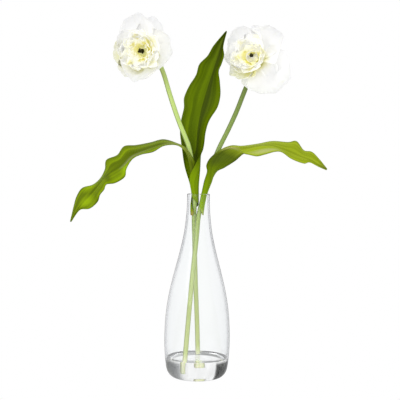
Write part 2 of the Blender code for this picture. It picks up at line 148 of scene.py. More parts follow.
# %% [markdown]
# ## Turning a mould into a finished piece
# Each piece is shaped as a bmesh, here called a mould. When it is ready it becomes an object that rides
# on the imported body, stands for the plain solid it improves and hides it, and takes its finishes as
# materials. One helper does this for every piece.

# %% Finish a piece
def finished(name, mould, finishes, node):
    """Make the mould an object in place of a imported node."""
    mesh = bpy.data.meshes.new(name)
    mould.to_mesh(mesh)
    mould.free()
    piece = in_scene(name, mesh)
    for finish in finishes:
        mesh.materials.append(finish)
    mesh.shade_smooth()
    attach(piece, "root")
    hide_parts(node)
    print(f"{name}: {len(mesh.polygons)} faces, stands for {node}")
    return piece


def thickened(piece, thickness):
    """Give a sheet its wall, half on each side."""
    wall = piece.modifiers.new("thickness", "SOLIDIFY")
    wall.thickness = thickness * MM
    wall.offset = 0.0
    wall.use_even_offset = False


# %% [markdown]
# ## Mixing colours as a dyer does
# Colours are easiest to read off a picture as numbers from 0 to 255, but a shader works with light,
# so the display curve has to be taken off first. The ramps in this lesson may be written either way,
# with display colours or with plain greys from 0 to 1.

# %% Dyes and greys
def dye(red, green, blue):
    """A display colour, 0 to 255, as light."""
    light = []
    for channel in (red, green, blue):
        share = channel / 255.0
        light.append(share / 12.92 if share <= 0.04045 else ((share + 0.055) / 1.055) ** 2.4)
    return (*light, 1.0)


def as_light(tone):
    """One number is a grey, three are a display colour, and four are light already."""
    if isinstance(tone, float):
        return (tone, tone, tone, 1.0)
    return tone if len(tone) == 4 else dye(*tone)


def halfway(one, other):
    return tuple(a + (b - a) / 2 for a, b in zip(one, other))


CLEAR = as_light(1.0)
print("mid green as light:", [round(channel, 3) for channel in dye(106, 130, 5)])

# %% [markdown]
# ## The nodes of a finish
# A finish is a tree of nodes. Each helper below adds one node, or a few that always go together, and
# most of them return the socket with the answer, so that one line can feed the next. Patterns lie on
# the object's own coordinates or on its UV map, so they stay on the piece when it is moved.

# %% Start a finish and feed its sockets
def new_finish(name, settings):
    """A material, its tree and its shader, whose named sockets get the values in settings."""
    finish = bpy.data.materials.new(name)
    finish.use_nodes = True
    shader = finish.node_tree.nodes["Principled BSDF"]
    for socket, value in settings.items():
        shader.inputs[socket].default_value = value
    return finish, finish.node_tree, shader


def feed(tree, socket, value):
    """Link another socket to this one, or set it to a plain value."""
    if isinstance(value, bpy.types.NodeSocket):
        tree.links.new(value, socket)
    else:
        socket.default_value = value


def reckoned(tree, kind, how, *values):
    """The answers of a sum on numbers or sockets; kind is Math, or VectorMath for vectors."""
    sums = tree.nodes.new("ShaderNode" + kind)
    sums.operation = how
    for socket, value in zip(sums.inputs, values):
        feed(tree, socket, value)
    return sums.outputs


print("a finish starts as one shader and grows by helpers")

# %% Lay a pattern on a piece
def place_on(tree, source, scale=(1.0, 1.0, 1.0), shift=(0.0, 0.0, 0.0)):
    """Coordinates for a pattern: the object's own, or its UV map, stretched, then shifted."""
    coordinates = tree.nodes.new("ShaderNodeTexCoord")
    stretch = tree.nodes.new("ShaderNodeMapping")
    stretch.inputs["Scale"].default_value = scale
    stretch.inputs["Location"].default_value = shift
    tree.links.new(coordinates.outputs[source], stretch.inputs["Vector"])
    return stretch.outputs["Vector"]


def part_of(tree, vector, axis):
    """One of the three numbers of a vector socket."""
    split = tree.nodes.new("ShaderNodeSeparateXYZ")
    tree.links.new(vector, split.inputs["Vector"])
    return split.outputs[axis]


def way_along(tree, source, axis):
    """How far along one axis of its coordinates a point lies."""
    return part_of(tree, place_on(tree, source), axis)


def speckle(tree, source, scale, detail=3.0, distortion=0.0):
    """A cloudy pattern; a larger scale along an axis makes it finer that way."""
    cloud = tree.nodes.new("ShaderNodeTexNoise")
    cloud.inputs["Scale"].default_value = 1.0
    cloud.inputs["Detail"].default_value = detail
    cloud.inputs["Distortion"].default_value = distortion
    tree.links.new(place_on(tree, source, scale), cloud.inputs["Vector"])
    return cloud.outputs["Fac"]


print("patterns lie on Object, Generated or UV coordinates")

# %% Ramps and layers
def ramp(tree, amount, *stops):
    """Colours along a scale: each stop is (place, tone)."""
    scale = tree.nodes.new("ShaderNodeValToRGB")
    knots = scale.color_ramp.elements
    while len(knots) < len(stops):
        knots.new(1.0)
    # A knot that moves may change its turn in the list, so all places are set before any colour.
    for knot, (place, tone) in zip(knots, stops):
        knot.position = place
    for knot, (place, tone) in zip(knots, stops):
        knot.color = as_light(tone)
    tree.links.new(amount, scale.inputs["Fac"])
    return scale.outputs["Color"]


def step_up(tree, amount, low, high):
    """Black up to low, white from high on, and a slope between them."""
    return ramp(tree, amount, (low, 0.0), (high, 1.0))


def blended(tree, amount, under, over, how="MIX"):
    """Lay one colour over another; each of them, and amount, may be a value or a socket."""
    layer = tree.nodes.new("ShaderNodeMix")
    layer.data_type = "RGBA"
    layer.blend_type = how
    for socket, value in ((0, amount), (6, under), (7, over)):
        feed(tree, layer.inputs[socket], value)
    return layer.outputs[2]


def tinted(tree, amount, under, tint):
    """Darken a colour by a tint, as a glaze does."""
    return blended(tree, amount, under, tint, "MULTIPLY")


print("a ramp has two stops or more, and a layer two colours")

# %% Soft spots and relief
def spot(tree, centre, reach, strength):
    """A soft-edged oval on the UV map, 0 outside it, at centre and with half widths reach."""
    scale = (1.0 / reach[0], 1.0 / reach[1], 1.0)
    shift = (-centre[0] / reach[0], -centre[1] / reach[1], 0.0)
    away = reckoned(tree, "VectorMath", "LENGTH", place_on(tree, "UV", scale, shift))["Value"]
    return ramp(tree, away, (0.25, strength), (0.6, strength * 0.5), (1.0, 0.0))


def relief(tree, shader, height, strength, depth_mm):
    """Make the surface look raised where height is bright."""
    bump = tree.nodes.new("ShaderNodeBump")
    bump.inputs["Strength"].default_value = strength
    bump.inputs["Distance"].default_value = depth_mm * MM
    tree.links.new(height, bump.inputs["Height"])
    tree.links.new(bump.outputs["Normal"], shader.inputs["Normal"])


print("relief is measured in mm, and one mm here is", MM)

# %% [markdown]
# ## The glass
# Clear glass shows itself by its edges. Where the eye looks along the wall it sees through far more
# glass, and past it to the dark sides of the studio, so a vase before a white wall is drawn by thin
# grey lines. Here those lines are painted reflection: Layer Weight tells how obliquely a surface is
# seen, and a ramp on it paints the lines into the glass's colour at every silhouette, from whichever
# side the vase is looked at. They are painted heavier on the right half, where the studio was darker,
# and in the narrow neck, where a ramp by height brings in a broader line. The thick foot is one solid
# lens of glass and resin, which gathers more of the dark sides, so it gets painted bands of its own.
# They compare only the wall's compass direction with the view, because the foot's curve inwards must
# not darken it. The flat underside stays clear, and the bands fade out at the level of the fill.
#
# Two settings keep the inside bright. A wall that is seen face on mirrors little, and GLARE thins that
# further. And a path tracer hardly finds a lamp through glass that bends its rays, so the rays that
# carry light to the stems pass straight through, and only those that lead to the eye are bent.

# %% Clear glass that lets light through
GLARE = 0.3
GLASS_IOR = 1.5


def clear_glass(name, ior, roughness=0.0):
    """Glass to the eye, and nothing at all to the rays that carry light."""
    glass, tree, shader = new_finish(name, {
        "Roughness": roughness, "Transmission Weight": 1.0, "IOR": ior, "Base Color": CLEAR,
        "Specular Tint": as_light(GLARE)})
    ray = tree.nodes.new("ShaderNodeLightPath").outputs
    lighting = reckoned(tree, "Math", "MAXIMUM", ray["Is Shadow Ray"], ray["Is Diffuse Ray"])["Value"]
    straight = tree.nodes.new("ShaderNodeBsdfTransparent").outputs["BSDF"]
    choice = tree.nodes.new("ShaderNodeMixShader")
    for socket, value in zip(choice.inputs, (lighting, shader.outputs["BSDF"], straight)):
        tree.links.new(value, socket)
    tree.links.new(choice.outputs["Shader"], tree.nodes["Material Output"].inputs["Surface"])
    return glass, tree, shader


def slant(tree):
    """A node whose Facing output is 0 face on and 1 where a surface is seen edge on."""
    edge = tree.nodes.new("ShaderNodeLayerWeight")
    edge.inputs["Blend"].default_value = 0.5
    return edge


print("clear glass mirrors", GLARE, "of what plain glass does, seen face on")

# %% Glass of the upper wall
body_glass, tree, shader = clear_glass("clear glass wall", GLASS_IOR)
facing = slant(tree).outputs["Facing"]
# Painted reflection of the dark studio: grey lines at the silhouettes, painted heavier on the right
# half and in the neck.
face_on = (0.0, (253, 254, 254))
painted_thin_edge = ramp(tree, facing, face_on, (0.6, (248, 249, 250)), (0.8, (220, 222, 226)),
                 (0.94, (60, 62, 66)))
painted_wide_edge = ramp(tree, facing, face_on, (0.6, (246, 247, 248)), (0.81, (198, 200, 204)),
                 (0.92, (10, 12, 16)))
painted_neck_edge = ramp(tree, facing, face_on, (0.5, (248, 249, 250)), (0.66, (184, 186, 190)),
                 (0.86, (20, 22, 26)))
to_right = step_up(tree, way_along(tree, "Object", "X"), 0.0, 0.02)
to_neck = step_up(tree, way_along(tree, "Object", "Z"), 0.1, 0.15)
tone = blended(tree, to_neck, blended(tree, to_right, painted_thin_edge, painted_wide_edge), painted_neck_edge)
tree.links.new(tone, shader.inputs["Base Color"])
print("glass finish:", body_glass.name)

# %% Glass of the foot
foot_glass, tree, shader = clear_glass("clear glass foot", GLASS_IOR)
here = tree.nodes.new("ShaderNodeTexCoord").outputs["Object"]
outwards = reckoned(tree, "VectorMath", "MULTIPLY", here, (1.0, 1.0, 0.0))["Vector"]
edge = slant(tree)
tree.links.new(reckoned(tree, "VectorMath", "NORMALIZE", outwards)["Vector"], edge.inputs["Normal"])
facing = edge.outputs["Facing"]
# Painted reflection of the dark sides of the studio: bands paler on the left half of the foot and
# darker on the right.
painted_pale_side = ramp(tree, facing, (0.08, (253, 254, 254)), (0.15, (206, 208, 209)),
                 (0.2, (136, 138, 139)), (0.27, (104, 106, 107)), (0.43, (98, 100, 101)),
                 (0.62, (137, 139, 140)), (0.86, (160, 162, 164)))
painted_dark_side = ramp(tree, facing, (0.21, (251, 252, 252)), (0.234, (112, 113, 112)),
                 (0.256, (38, 39, 38)), (0.283, (18, 19, 18)), (0.41, (26, 27, 26)),
                 (0.67, (40, 42, 41)), (0.85, (97, 99, 100)))
to_right = step_up(tree, part_of(tree, here, "X"), 0.0, 0.008)
bands = blended(tree, to_right, painted_pale_side, painted_dark_side)
normal = tree.nodes.new("ShaderNodeNewGeometry").outputs["Normal"]
level = reckoned(tree, "Math", "ABSOLUTE", part_of(tree, normal, "Z"))["Value"]
bands = blended(tree, step_up(tree, level, 0.8, 0.95), bands, CLEAR)
to_fill_level = step_up(tree, part_of(tree, here, "Z"), 0.0195, 0.0222)
bands = blended(tree, to_fill_level, bands, CLEAR)
streaks = speckle(tree, "Object", (160.0, 160.0, 25.0), 2.0)
streaks = ramp(tree, streaks, (0.35, (190, 190, 190)), (0.65, 1.0))
tree.links.new(tinted(tree, 0.35, bands, streaks), shader.inputs["Base Color"])
print("glass finish:", foot_glass.name)

# %% [markdown]
# ## Resin that touches glass
# The fill is cast resin, which bends light as much as glass does. Where the two touch there is
# nothing to see: light bends by the ratio of their indices, and that ratio is one. So the wall of
# glass below the fill and the sides of the resin both get an index of 1.0, and only the resin's top,
# which meets air, keeps the index of glass. A renderer has no other way to know that they touch.

# %% Resin finishes
TOUCHING_IOR = 1.0
wetted = clear_glass("glass against resin", TOUCHING_IOR)[0]
resin_side = clear_glass("resin against glass", TOUCHING_IOR)[0]
resin_top, tree, shader = clear_glass("clear resin", GLASS_IOR, 0.12)
relief(tree, shader, speckle(tree, "Object", (90.0,) * 3, 1.0), 0.08, 0.4)
# A faint painted edge shade where the resin's top is seen edge on.
tone = ramp(tree, slant(tree).outputs["Facing"], (0.6, 1.0), (0.9, (244, 245, 245)))
tree.links.new(tone, shader.inputs["Base Color"])
print("resin finishes:", resin_side.name, "and", resin_top.name)

# %% [markdown]
# ## The vase
# A bud vase is blown in a mould, so it is round: half of its section, spun once about the axis, is
# the whole shape. The section is drawn from the middle of the underside, up the outer side, over the
# fire-polished lip and back down inside to the thick floor. Spin with use_merge closes the seam, and
# merging doubles closes the two points on the axis.

# %% Measurements of the vase
VASE_OUTER = [
    (21.0, 0.0), (27.6, 2.2), (32.2, 8.0), (34.2, 18.0), (35.3, 33.0), (35.4, 50.0), (34.1, 71.0),
    (30.8, 92.5), (25.4, 115.5), (19.4, 138.5), (15.1, 159.0), (13.0, 177.0), (12.2, 190.0),
]
VASE_HEIGHT = 200.0
GLASS_WALL = 1.5
FLOOR_HEIGHT = 7.0
FLOOR_CORNER = [(22.0, 7.0), (28.6, 9.2), (31.6, 14.0)]
FILL_LEVEL = 22.5
OUTER_LINE = smooth_section(VASE_OUTER, 240)


def outer_radius(height):
    for (lower_radius, lower), (upper_radius, upper) in zip(OUTER_LINE, OUTER_LINE[1:]):
        if lower <= height <= upper:
            share = (height - lower) / (upper - lower)
            return lower_radius + (upper_radius - lower_radius) * share
    return OUTER_LINE[-1][0]


print("radius at the shoulder:", round(outer_radius(115.5), 1), "mm")

# %% Spin a section into a round piece
ROUND_STEPS = 160
MERGE_GAP = 0.002


def spun(section, steps=ROUND_STEPS):
    """A mould turned about the upright axis from a section of (radius, height) points."""
    mould = bmesh.new()
    corners = [mould.verts.new((radius * MM, 0.0, height * MM)) for radius, height in section]
    for lower, upper in zip(corners, corners[1:]):
        mould.edges.new((lower, upper))
    bmesh.ops.spin(mould, geom=mould.verts[:] + mould.edges[:], cent=(0.0, 0.0, 0.0),
                   axis=(0.0, 0.0, 1.0), dvec=(0.0, 0.0, 0.0), angle=2 * pi, steps=steps,
                   use_merge=True)
    bmesh.ops.remove_doubles(mould, verts=mould.verts, dist=MERGE_GAP * MM)
    bmesh.ops.recalc_face_normals(mould, faces=mould.faces)
    return mould


def rounded_lip(outer, wall, top, steps=10):
    """Half a circle over the rim, from the outside to the inside."""
    centre = outer - wall / 2
    points = []
    for step in range(steps + 1):
        angle = pi * step / steps
        points.append((centre + cos(angle) * wall / 2, top - wall / 2 + sin(angle) * wall / 2))
    return points


print("a full turn has", ROUND_STEPS, "steps")

# %% Draw the vase's section
INNER_STEP = 1.5
lip = rounded_lip(outer_radius(VASE_HEIGHT), GLASS_WALL, VASE_HEIGHT)
inside = []
height = VASE_HEIGHT - 2 * INNER_STEP
while height > FILL_LEVEL:
    inside.append((outer_radius(height) - GLASS_WALL, height))
    height -= INNER_STEP
shore = outer_radius(FILL_LEVEL) - GLASS_WALL
corner = smooth_section([(shore, FILL_LEVEL), *reversed(FLOOR_CORNER)], 18)
section = [(0.0, 0.0)] + OUTER_LINE[::2] + lip + inside + corner + [(0.0, FLOOR_HEIGHT)]
print(len(section), "points in the vase's section")

# %% Make the vase
BODY, FOOT, WETTED = 0, 1, 2
WELL_INSIDE = 0.6 * GLASS_WALL
SLACK = 0.1
mould = spun(section)
for face in mould.faces:
    middle = face.calc_center_median() / MM
    radius = middle.xy.length
    inner = radius < outer_radius(middle.z) - WELL_INSIDE and middle.z > FLOOR_HEIGHT - SLACK
    if middle.z >= FILL_LEVEL:
        face.material_index = BODY
    else:
        face.material_index = WETTED if inner else FOOT
finished("glass_vase", mould, [body_glass, foot_glass, wetted], "vase")

# %% [markdown]
# ## The clear fill
# The resin was poured in as a liquid, so it has what a liquid has: a level top and a thin lip where
# it creeps up the glass, called a meniscus. It is spun like the vase. The stems go straight into it,
# because the resin was cast round them.

# %% Make the fill
CLEARANCE = 0.08
CREEP = 0.08
CREEP_WIDTH = 3.0
CREEP_STEPS = 12
JUST_UNDER = 0.01
upside = [(0.0, FILL_LEVEL)]
for step in range(CREEP_STEPS + 1):
    share = step / CREEP_STEPS
    out = shore - CLEARANCE - CREEP_WIDTH * (1.0 - share)
    upside.append((out, FILL_LEVEL + CREEP * share ** 4))
downside = [(radius - CLEARANCE, height + CLEARANCE) for radius, height in corner]
mould = spun(upside + downside[1:] + [(0.0, FLOOR_HEIGHT + CLEARANCE)])
for face in mould.faces:
    middle = face.calc_center_median() / MM
    face.material_index = 0 if middle.z > FILL_LEVEL - JUST_UNDER else 1
finished("resin_fill", mould, [resin_top, resin_side], "clear_fill")

# %% [markdown]
# ## Green finishes
# The stems are wire coated in pale green plastic, paler still at their cut ends, with fine streaks
# along them and painted shade along two sides; the right stem also carries a painted shadow that
# darkens it towards its bloom. The leaves are printed cloth pressed with parallel veins, a tulip leaf's
# mark. The veins follow each leaf's own UV map, across and along, so they bend with it. Streaks colour
# the leaf and the same streaks, as a bump, catch the light in thin lines. A leaf also gets painted
# shade from edge to edge and colours of its own at its foot, and a few soft ovals along the blade are
# painted sheen, painted highlights and painted shade.

# %% Stem finish
def coated_stem(name, stops):
    """Pale green plastic with fine streaks; stops are (height in metres, colour)."""
    finish, tree, shader = new_finish(name, {
        "Roughness": 0.5, "Subsurface Weight": 0.3, "Subsurface Radius": (0.8, 1.0, 0.4),
        "Subsurface Scale": 0.002, "Specular IOR Level": 0.15})
    upright = ramp(tree, way_along(tree, "Object", "Z"), *stops)
    streaks = ramp(tree, speckle(tree, "UV", (9.0, 5.0, 1.0)), (0.3, (214, 222, 190)), (0.7, 1.0))
    round_the_stem = way_along(tree, "UV", "X")
    # Painted shade: this ramp round the stem darkens two of its sides, as light from the front would.
    sides = ramp(tree, round_the_stem, (0.0, 0.45), (0.1, 0.68), (0.19, 1.0), (0.35, 1.0), (0.46, 0.66),
                 (0.6, 0.75), (1.0, 0.5))
    tone = tinted(tree, 1.0, tinted(tree, 0.5, upright, streaks), sides)
    tree.links.new(tone, shader.inputs["Base Color"])
    relief(tree, shader, speckle(tree, "UV", (26.0, 3.0, 1.0), 2.0), 0.6, 0.5)
    print("stem finish:", name)
    return finish


cut_end = (0.02, (250, 251, 222))
left_stem_green = coated_stem("left coated stem", [
    cut_end, (0.03, (214, 224, 166)), (0.13, (196, 212, 144)), (0.18, (176, 198, 118)),
    (0.27, (206, 228, 140)), (0.345, (202, 220, 140))])
# The right stem darkens towards its top, a painted shadow under its bloom.
right_stem_green = coated_stem("right coated stem", [
    cut_end, (0.03, (212, 222, 166)), (0.13, (192, 208, 140)), (0.2, (164, 186, 106)),
    (0.27, (146, 168, 92)), (0.33, (120, 138, 76))])

# %% Leaf finish
VEINS = 26.0


def printed_leaf(name, dark, bright, painted_shade_across, wrap, foot, painted_sheens_and_shade):
    """Green cloth with veins, from colours read on the real leaf.

    the tints across are painted shade from edge to edge, as (place across, tint), wrap is where the
    foot's colours end along the leaf, foot holds those colours as (place along, colour), and the soft
    ovals are painted sheens, painted highlights and painted shade, as (centre, reach, strength, colour)
    on the UV map.
    """
    finish, tree, shader = new_finish(name, {"Roughness": 0.5, "Specular IOR Level": 0.06})
    across = way_along(tree, "UV", "X")
    along = way_along(tree, "UV", "Y")
    bands = speckle(tree, "UV", (6.0, 1.3, 1.0), 1.0, 0.1)
    veins = speckle(tree, "UV", (VEINS, 1.6, 1.0), 2.0, 0.15)
    threads = speckle(tree, "UV", (VEINS * 4, 9.0, 1.0))
    between = halfway(dye(*dark), dye(*bright))
    green = ramp(tree, bands, (0.34, dark), (0.5, between), (0.66, bright))
    wrapped = ramp(tree, along, (wrap[0], 1.0), (wrap[1], 0.0))
    green = blended(tree, wrapped, green, ramp(tree, along, *foot))
    green = tinted(tree, 1.0, green, ramp(tree, across, *painted_shade_across))
    green = tinted(tree, 0.4, green, ramp(tree, veins, (0.35, (190, 196, 120)), (0.6, 1.0)))
    green = tinted(tree, 0.3, green, ramp(tree, threads, (0.35, (195, 200, 160)), (0.6, 1.0)))
    # Painted sheens, painted highlights and painted shade, laid on as soft ovals.
    for centre, reach, strength, colour in painted_sheens_and_shade:
        green = blended(tree, spot(tree, centre, reach, strength), green, dye(*colour))
    tree.links.new(green, shader.inputs["Base Color"])
    relief(tree, shader, veins, 0.55, 0.5)
    print("leaf finish:", name)
    return finish


print("a leaf is printed with", VEINS, "veins across")

# %% The three greens
# The tints across are painted shade: darker at the edges and along the midrib, and on the broad leaf
# over the half right of its midrib. The ovals are painted sheens on ridges, painted highlights on the
# drooping leaf's bulges, and painted shade in folds, along an edge and at the tips.
centre_green = printed_leaf(
    "broad leaf", (84, 106, 0), (124, 150, 0),
    [(0.0, 0.75), (0.15, 1.0), (0.46, 1.0), (0.5, 0.38), (0.58, 0.32),
     (0.75, 0.62), (0.95, 0.75)],
    (0.36, 0.48),
    [(0.0, (190, 170, 84)), (0.06, (150, 158, 30)), (0.14, (118, 148, 0)), (0.3, (152, 186, 0))],
    [((0.5, 0.97), (0.6, 0.16), 0.5, (70, 80, 14))])
left_green = printed_leaf(
    "drooping leaf", (94, 112, 0), (142, 168, 0),
    [(0.0, 0.6), (0.08, 0.95), (0.38, 0.85), (0.48, 0.5), (0.53, 0.8),
     (0.8, 1.0), (0.93, 1.0), (1.0, 0.7)],
    (0.14, 0.26),
    [(0.0, (112, 128, 20)), (0.2, (104, 122, 14))],
    [((0.55, 0.5), (0.13, 0.1), 0.7, (160, 166, 116)), ((0.5, 0.27), (0.5, 0.1), 0.6, (170, 182, 92)),
     ((0.85, 0.56), (0.3, 0.05), 0.8, (150, 184, 0)), ((0.6, 0.87), (0.35, 0.06), 0.6, (160, 190, 6)),
     ((0.2, 0.78), (0.2, 0.05), 0.6, (154, 184, 0)), ((0.6, 0.68), (0.4, 0.03), 0.5, (70, 80, 20)),
     ((1.0, 0.84), (0.16, 0.04), 0.7, (76, 92, 0))])
right_green = printed_leaf(
    "arching leaf", (146, 164, 16), (176, 194, 46),
    [(0.0, 0.75), (0.1, 1.0), (0.42, 0.9), (0.49, 0.7), (0.54, 1.0), (0.9, 1.0),
     (1.0, 0.7)],
    (0.4, 0.5),
    [(0.0, (196, 208, 120)), (0.07, (148, 184, 4)), (0.24, (126, 154, 0)), (0.4, (86, 102, 8))],
    [((0.8, 0.62), (0.16, 0.12), 0.6, (190, 192, 134)),
     ((0.3, 0.47), (0.35, 0.05), 0.7, (176, 172, 110)),
     ((0.5, 0.36), (0.5, 0.05), 0.6, (66, 80, 10)), ((0.5, 0.99), (0.6, 0.06), 0.7, (96, 104, 40))])

# %% [markdown]
# ## Sheets that become leaves, petals and stems
# One idea makes all the plant parts. A flat grid is the cloth on the bench; a rule says where each
# point of it goes, from u across, -1 to 1, and v along, 0 to 1. The grid operator also lays the UV
# map flat before the cloth is bent, so the veins need no unwrapping.

# %% Bend a grid by a rule
def flat_sheet(mould, across, along):
    """Add a grid to the mould and give its points, each with its u and v."""
    made = bmesh.ops.create_grid(mould, x_segments=across, y_segments=along, size=1.0, calc_uvs=True)
    return [(point, point.co.x, (point.co.y + 1.0) / 2) for point in made["verts"]]


def laid_out(mould, surface, across, along):
    """Add a sheet and move each of its points to surface(u, v), which is in millimetres."""
    for point, u, v in flat_sheet(mould, across, along):
        point.co = surface(u, v) * MM


def new_mould():
    mould = bmesh.new()
    mould.loops.layers.uv.new("UVMap")
    return mould


print("a sheet starts flat, 2 by 2 units, and the rule gives it its size")

# %% [markdown]
# ## The stems
# A stem is a sheet rolled round its centre line until its edges meet. Merging the doubled points
# closes the seam, and a small dome closes each end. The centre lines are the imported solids' own, and
# their last two points lead straight into the back of the flower.

# %% Centre lines of the stems
STEM_RADIUS = 2.6
STEM_LEFT = [
    (1.2, 25.3, 11.5), (1.0, 24.5, 22), (-0.4, 18.5, 62), (-2.4, 12.3, 104), (-3.6, 7.5, 139),
    (-4.6, 2.2, 172), (-4.3, 0.3, 186), (-3.6, -1.2, 201), (-5.0, -2.6, 214), (-7.2, -4.2, 231),
    (-10.5, -6, 249), (-14.5, -6.2, 260), (-21.6, -5, 277), (-30.8, 0, 303), (-39.6, 6, 331),
    (-46.4, 9.5, 345), (-52.6, 8.3, 352.5),
]
STEM_RIGHT = [
    (-12.9, -18.3, 9.5), (-12.5, -18, 22), (-9.4, -13.8, 65), (-5.6, -9.2, 111), (-1.9, -5.3, 150),
    (-0.2, -3.2, 172), (1.4, -1.8, 181), (3.5, -0.6, 190), (6.1, 0.8, 200), (11.2, 2.8, 218),
    (19.8, 4.5, 245), (37.1, 8, 281.5), (50.2, 12, 315.2), (56.6, 15, 331.5), (60.2, 15.2, 339.5),
]
BLOOM_LEFT_BASE = (-58.5, -4.0, 353.0)
BLOOM_LEFT_FACING = (-0.33, -0.93, -0.14)
BLOOM_RIGHT_BASE = (59.3, 4.2, 345.2)
BLOOM_RIGHT_FACING = (-0.30, -0.93, 0.21)
LEAD_IN = 8.0
STEM_TIP = 2.5


def stem_points(route, base, facing):
    """The measured route with the two points that enter the flower."""
    axis = Vector(facing).normalized()
    return [*route, Vector(base) - axis * LEAD_IN, Vector(base) - axis * STEM_TIP]


left_route = stem_points(STEM_LEFT, BLOOM_LEFT_BASE, BLOOM_LEFT_FACING)
right_route = stem_points(STEM_RIGHT, BLOOM_RIGHT_BASE, BLOOM_RIGHT_FACING)
left_line = smooth_line(left_route, 30)
right_line = smooth_line(right_route, 30)
print("the left stem ends at", [round(number, 1) for number in left_line[-1]])

# %% Roll the stems
STEM_SIDES = 24
STEM_ROWS = 130
COAT_RADIUS = 0.985 * STEM_RADIUS
COAT_RIPPLE = 0.012
NEARBY = 0.002
DOME = 0.35
DOME_REACH = 0.0015


def rolled(line, radius, ripple, phase):
    """A rule that rolls a sheet round a line; ripple is how lumpy the coating is."""

    def surface(u, v):
        centre = smooth(line, v)
        way = smooth(line, min(v + NEARBY, 1.0)) - smooth(line, max(v - NEARBY, 0.0))
        way = way.normalized()
        side = Vector((1.0, 0.0, 0.0))
        side = (side - way * side.dot(way)).normalized()
        front = way.cross(side)
        angle = pi * u
        lumps = sin(3.0 * angle + phase) * sin(31.0 * v + phase) - sin(60.0 * v)
        dome = 1.0 - DOME * ease(abs(v - 0.5), 0.5 - DOME_REACH, 0.5)
        outwards = side * cos(angle) + front * sin(angle)
        return centre + outwards * radius * (1.0 + ripple * lumps) * dome
    return surface


def make_stem(name, line, node, finish, phase):
    mould = new_mould()
    laid_out(mould, rolled(line, COAT_RADIUS, COAT_RIPPLE, phase), STEM_SIDES, STEM_ROWS)
    bmesh.ops.remove_doubles(mould, verts=mould.verts, dist=MERGE_GAP * MM)
    rims = [edge for edge in mould.edges if edge.is_boundary]
    bmesh.ops.holes_fill(mould, edges=rims, sides=STEM_SIDES + 2)
    bmesh.ops.recalc_face_normals(mould, faces=mould.faces)
    finished(name, mould, [finish], node)


make_stem("left_stem", left_line, "stem_left", left_stem_green, 0.0)
make_stem("right_stem", right_line, "stem_right", right_stem_green, 2.0)

# %% [markdown]
# ## The leaves
# Each leaf is lofted, as a boat's hull is: a few ribs are set across it, and a smooth surface is drawn
# through them. The lowest ribs are arcs wrapped round the stem. The others are open, with a left edge,
# a midrib and a right edge, and each half is puffed out a little between them. Pressed cloth leaves
# have small ripples between the ribs, which are added as a fine wave that dies out at the midrib.

# %% The ribs of a leaf
LEAF_THICKNESS = 0.8
CLOTH_THICKNESS = 0.45
GAP = 0.3
PLAY = 0.15
SHEATH_RADIUS = STEM_RADIUS + GAP + LEAF_THICKNESS / 2 + PLAY


def at_height(line, height):
    return min(smooth_line(line, 400), key=lambda point: abs(point.z - height))


def foot_rib(centre, radius, left, middle, right):
    """Angles of the left edge, midrib and right edge: 0 behind, 90 right, 180 in front."""
    return Vector((*centre, radius, left, middle, right))


def sheath(line, rows):
    """Foot ribs round a stem; a row is a height, a radius and the three angles."""
    return [foot_rib(at_height(line, height), *arc) for height, *arc in rows]


def foot_point(rib, u):
    x, y, z, radius, left, middle, right = rib
    side = right if u > 0 else left
    angle = radians(middle + (side - middle) * abs(u))
    return Vector((x + radius * sin(angle), y + radius * cos(angle), z))


def blade_point(rib, u, bulge):
    left, middle, right = rib
    reach = abs(u)
    point = Vector(middle).lerp(Vector(right if u > 0 else left), reach)
    return point - Vector((0.0, bulge * sin(pi * reach), 0.0))


print("a leaf's foot wraps a stem at", round(SHEATH_RADIUS, 2), "mm from its middle")

# %% Loft a leaf through its ribs
LEAF_RIPPLE = 0.5
LONG_WAVE = 17.0
SHORT_WAVE = 41.0


def lofted(foot, blade, bulge, phase):
    """The rule of a leaf: up its foot and out to its tip, with small ripples."""
    foot_spans = len(foot) - 1
    spans = foot_spans + len(blade)

    def surface(u, v):
        at = v * spans
        if at <= foot_spans:
            point = foot_point(smooth(foot, at / foot_spans), u)
        else:
            ribs = [foot_point(rib, u) for rib in foot[-2:]]
            ribs += [blade_point(rib, u, bulge) for rib in blade]
            point = smooth(ribs, (at - foot_spans + 1) / (len(ribs) - 1))
        free = ease(v, foot_spans / spans, foot_spans / spans + 0.1) * ease(1.0 - v, 0.0, 0.12)
        wave = sin(LONG_WAVE * v * (1.0 + 0.15 * u) + phase)
        wave += 0.5 * sin(SHORT_WAVE * v + 3.0 * u + phase)
        return point + Vector((0.0, LEAF_RIPPLE * free * abs(u) ** 1.5 * wave, 0.0))
    return surface


def make_leaf(name, surface, across, along, finish, node):
    mould = new_mould()
    laid_out(mould, surface, across, along)
    bmesh.ops.recalc_face_normals(mould, faces=mould.faces)
    leaf = finished(name, mould, [finish], node)
    thickened(leaf, CLOTH_THICKNESS)


print("a leaf ripples by", LEAF_RIPPLE, "mm at its edges")

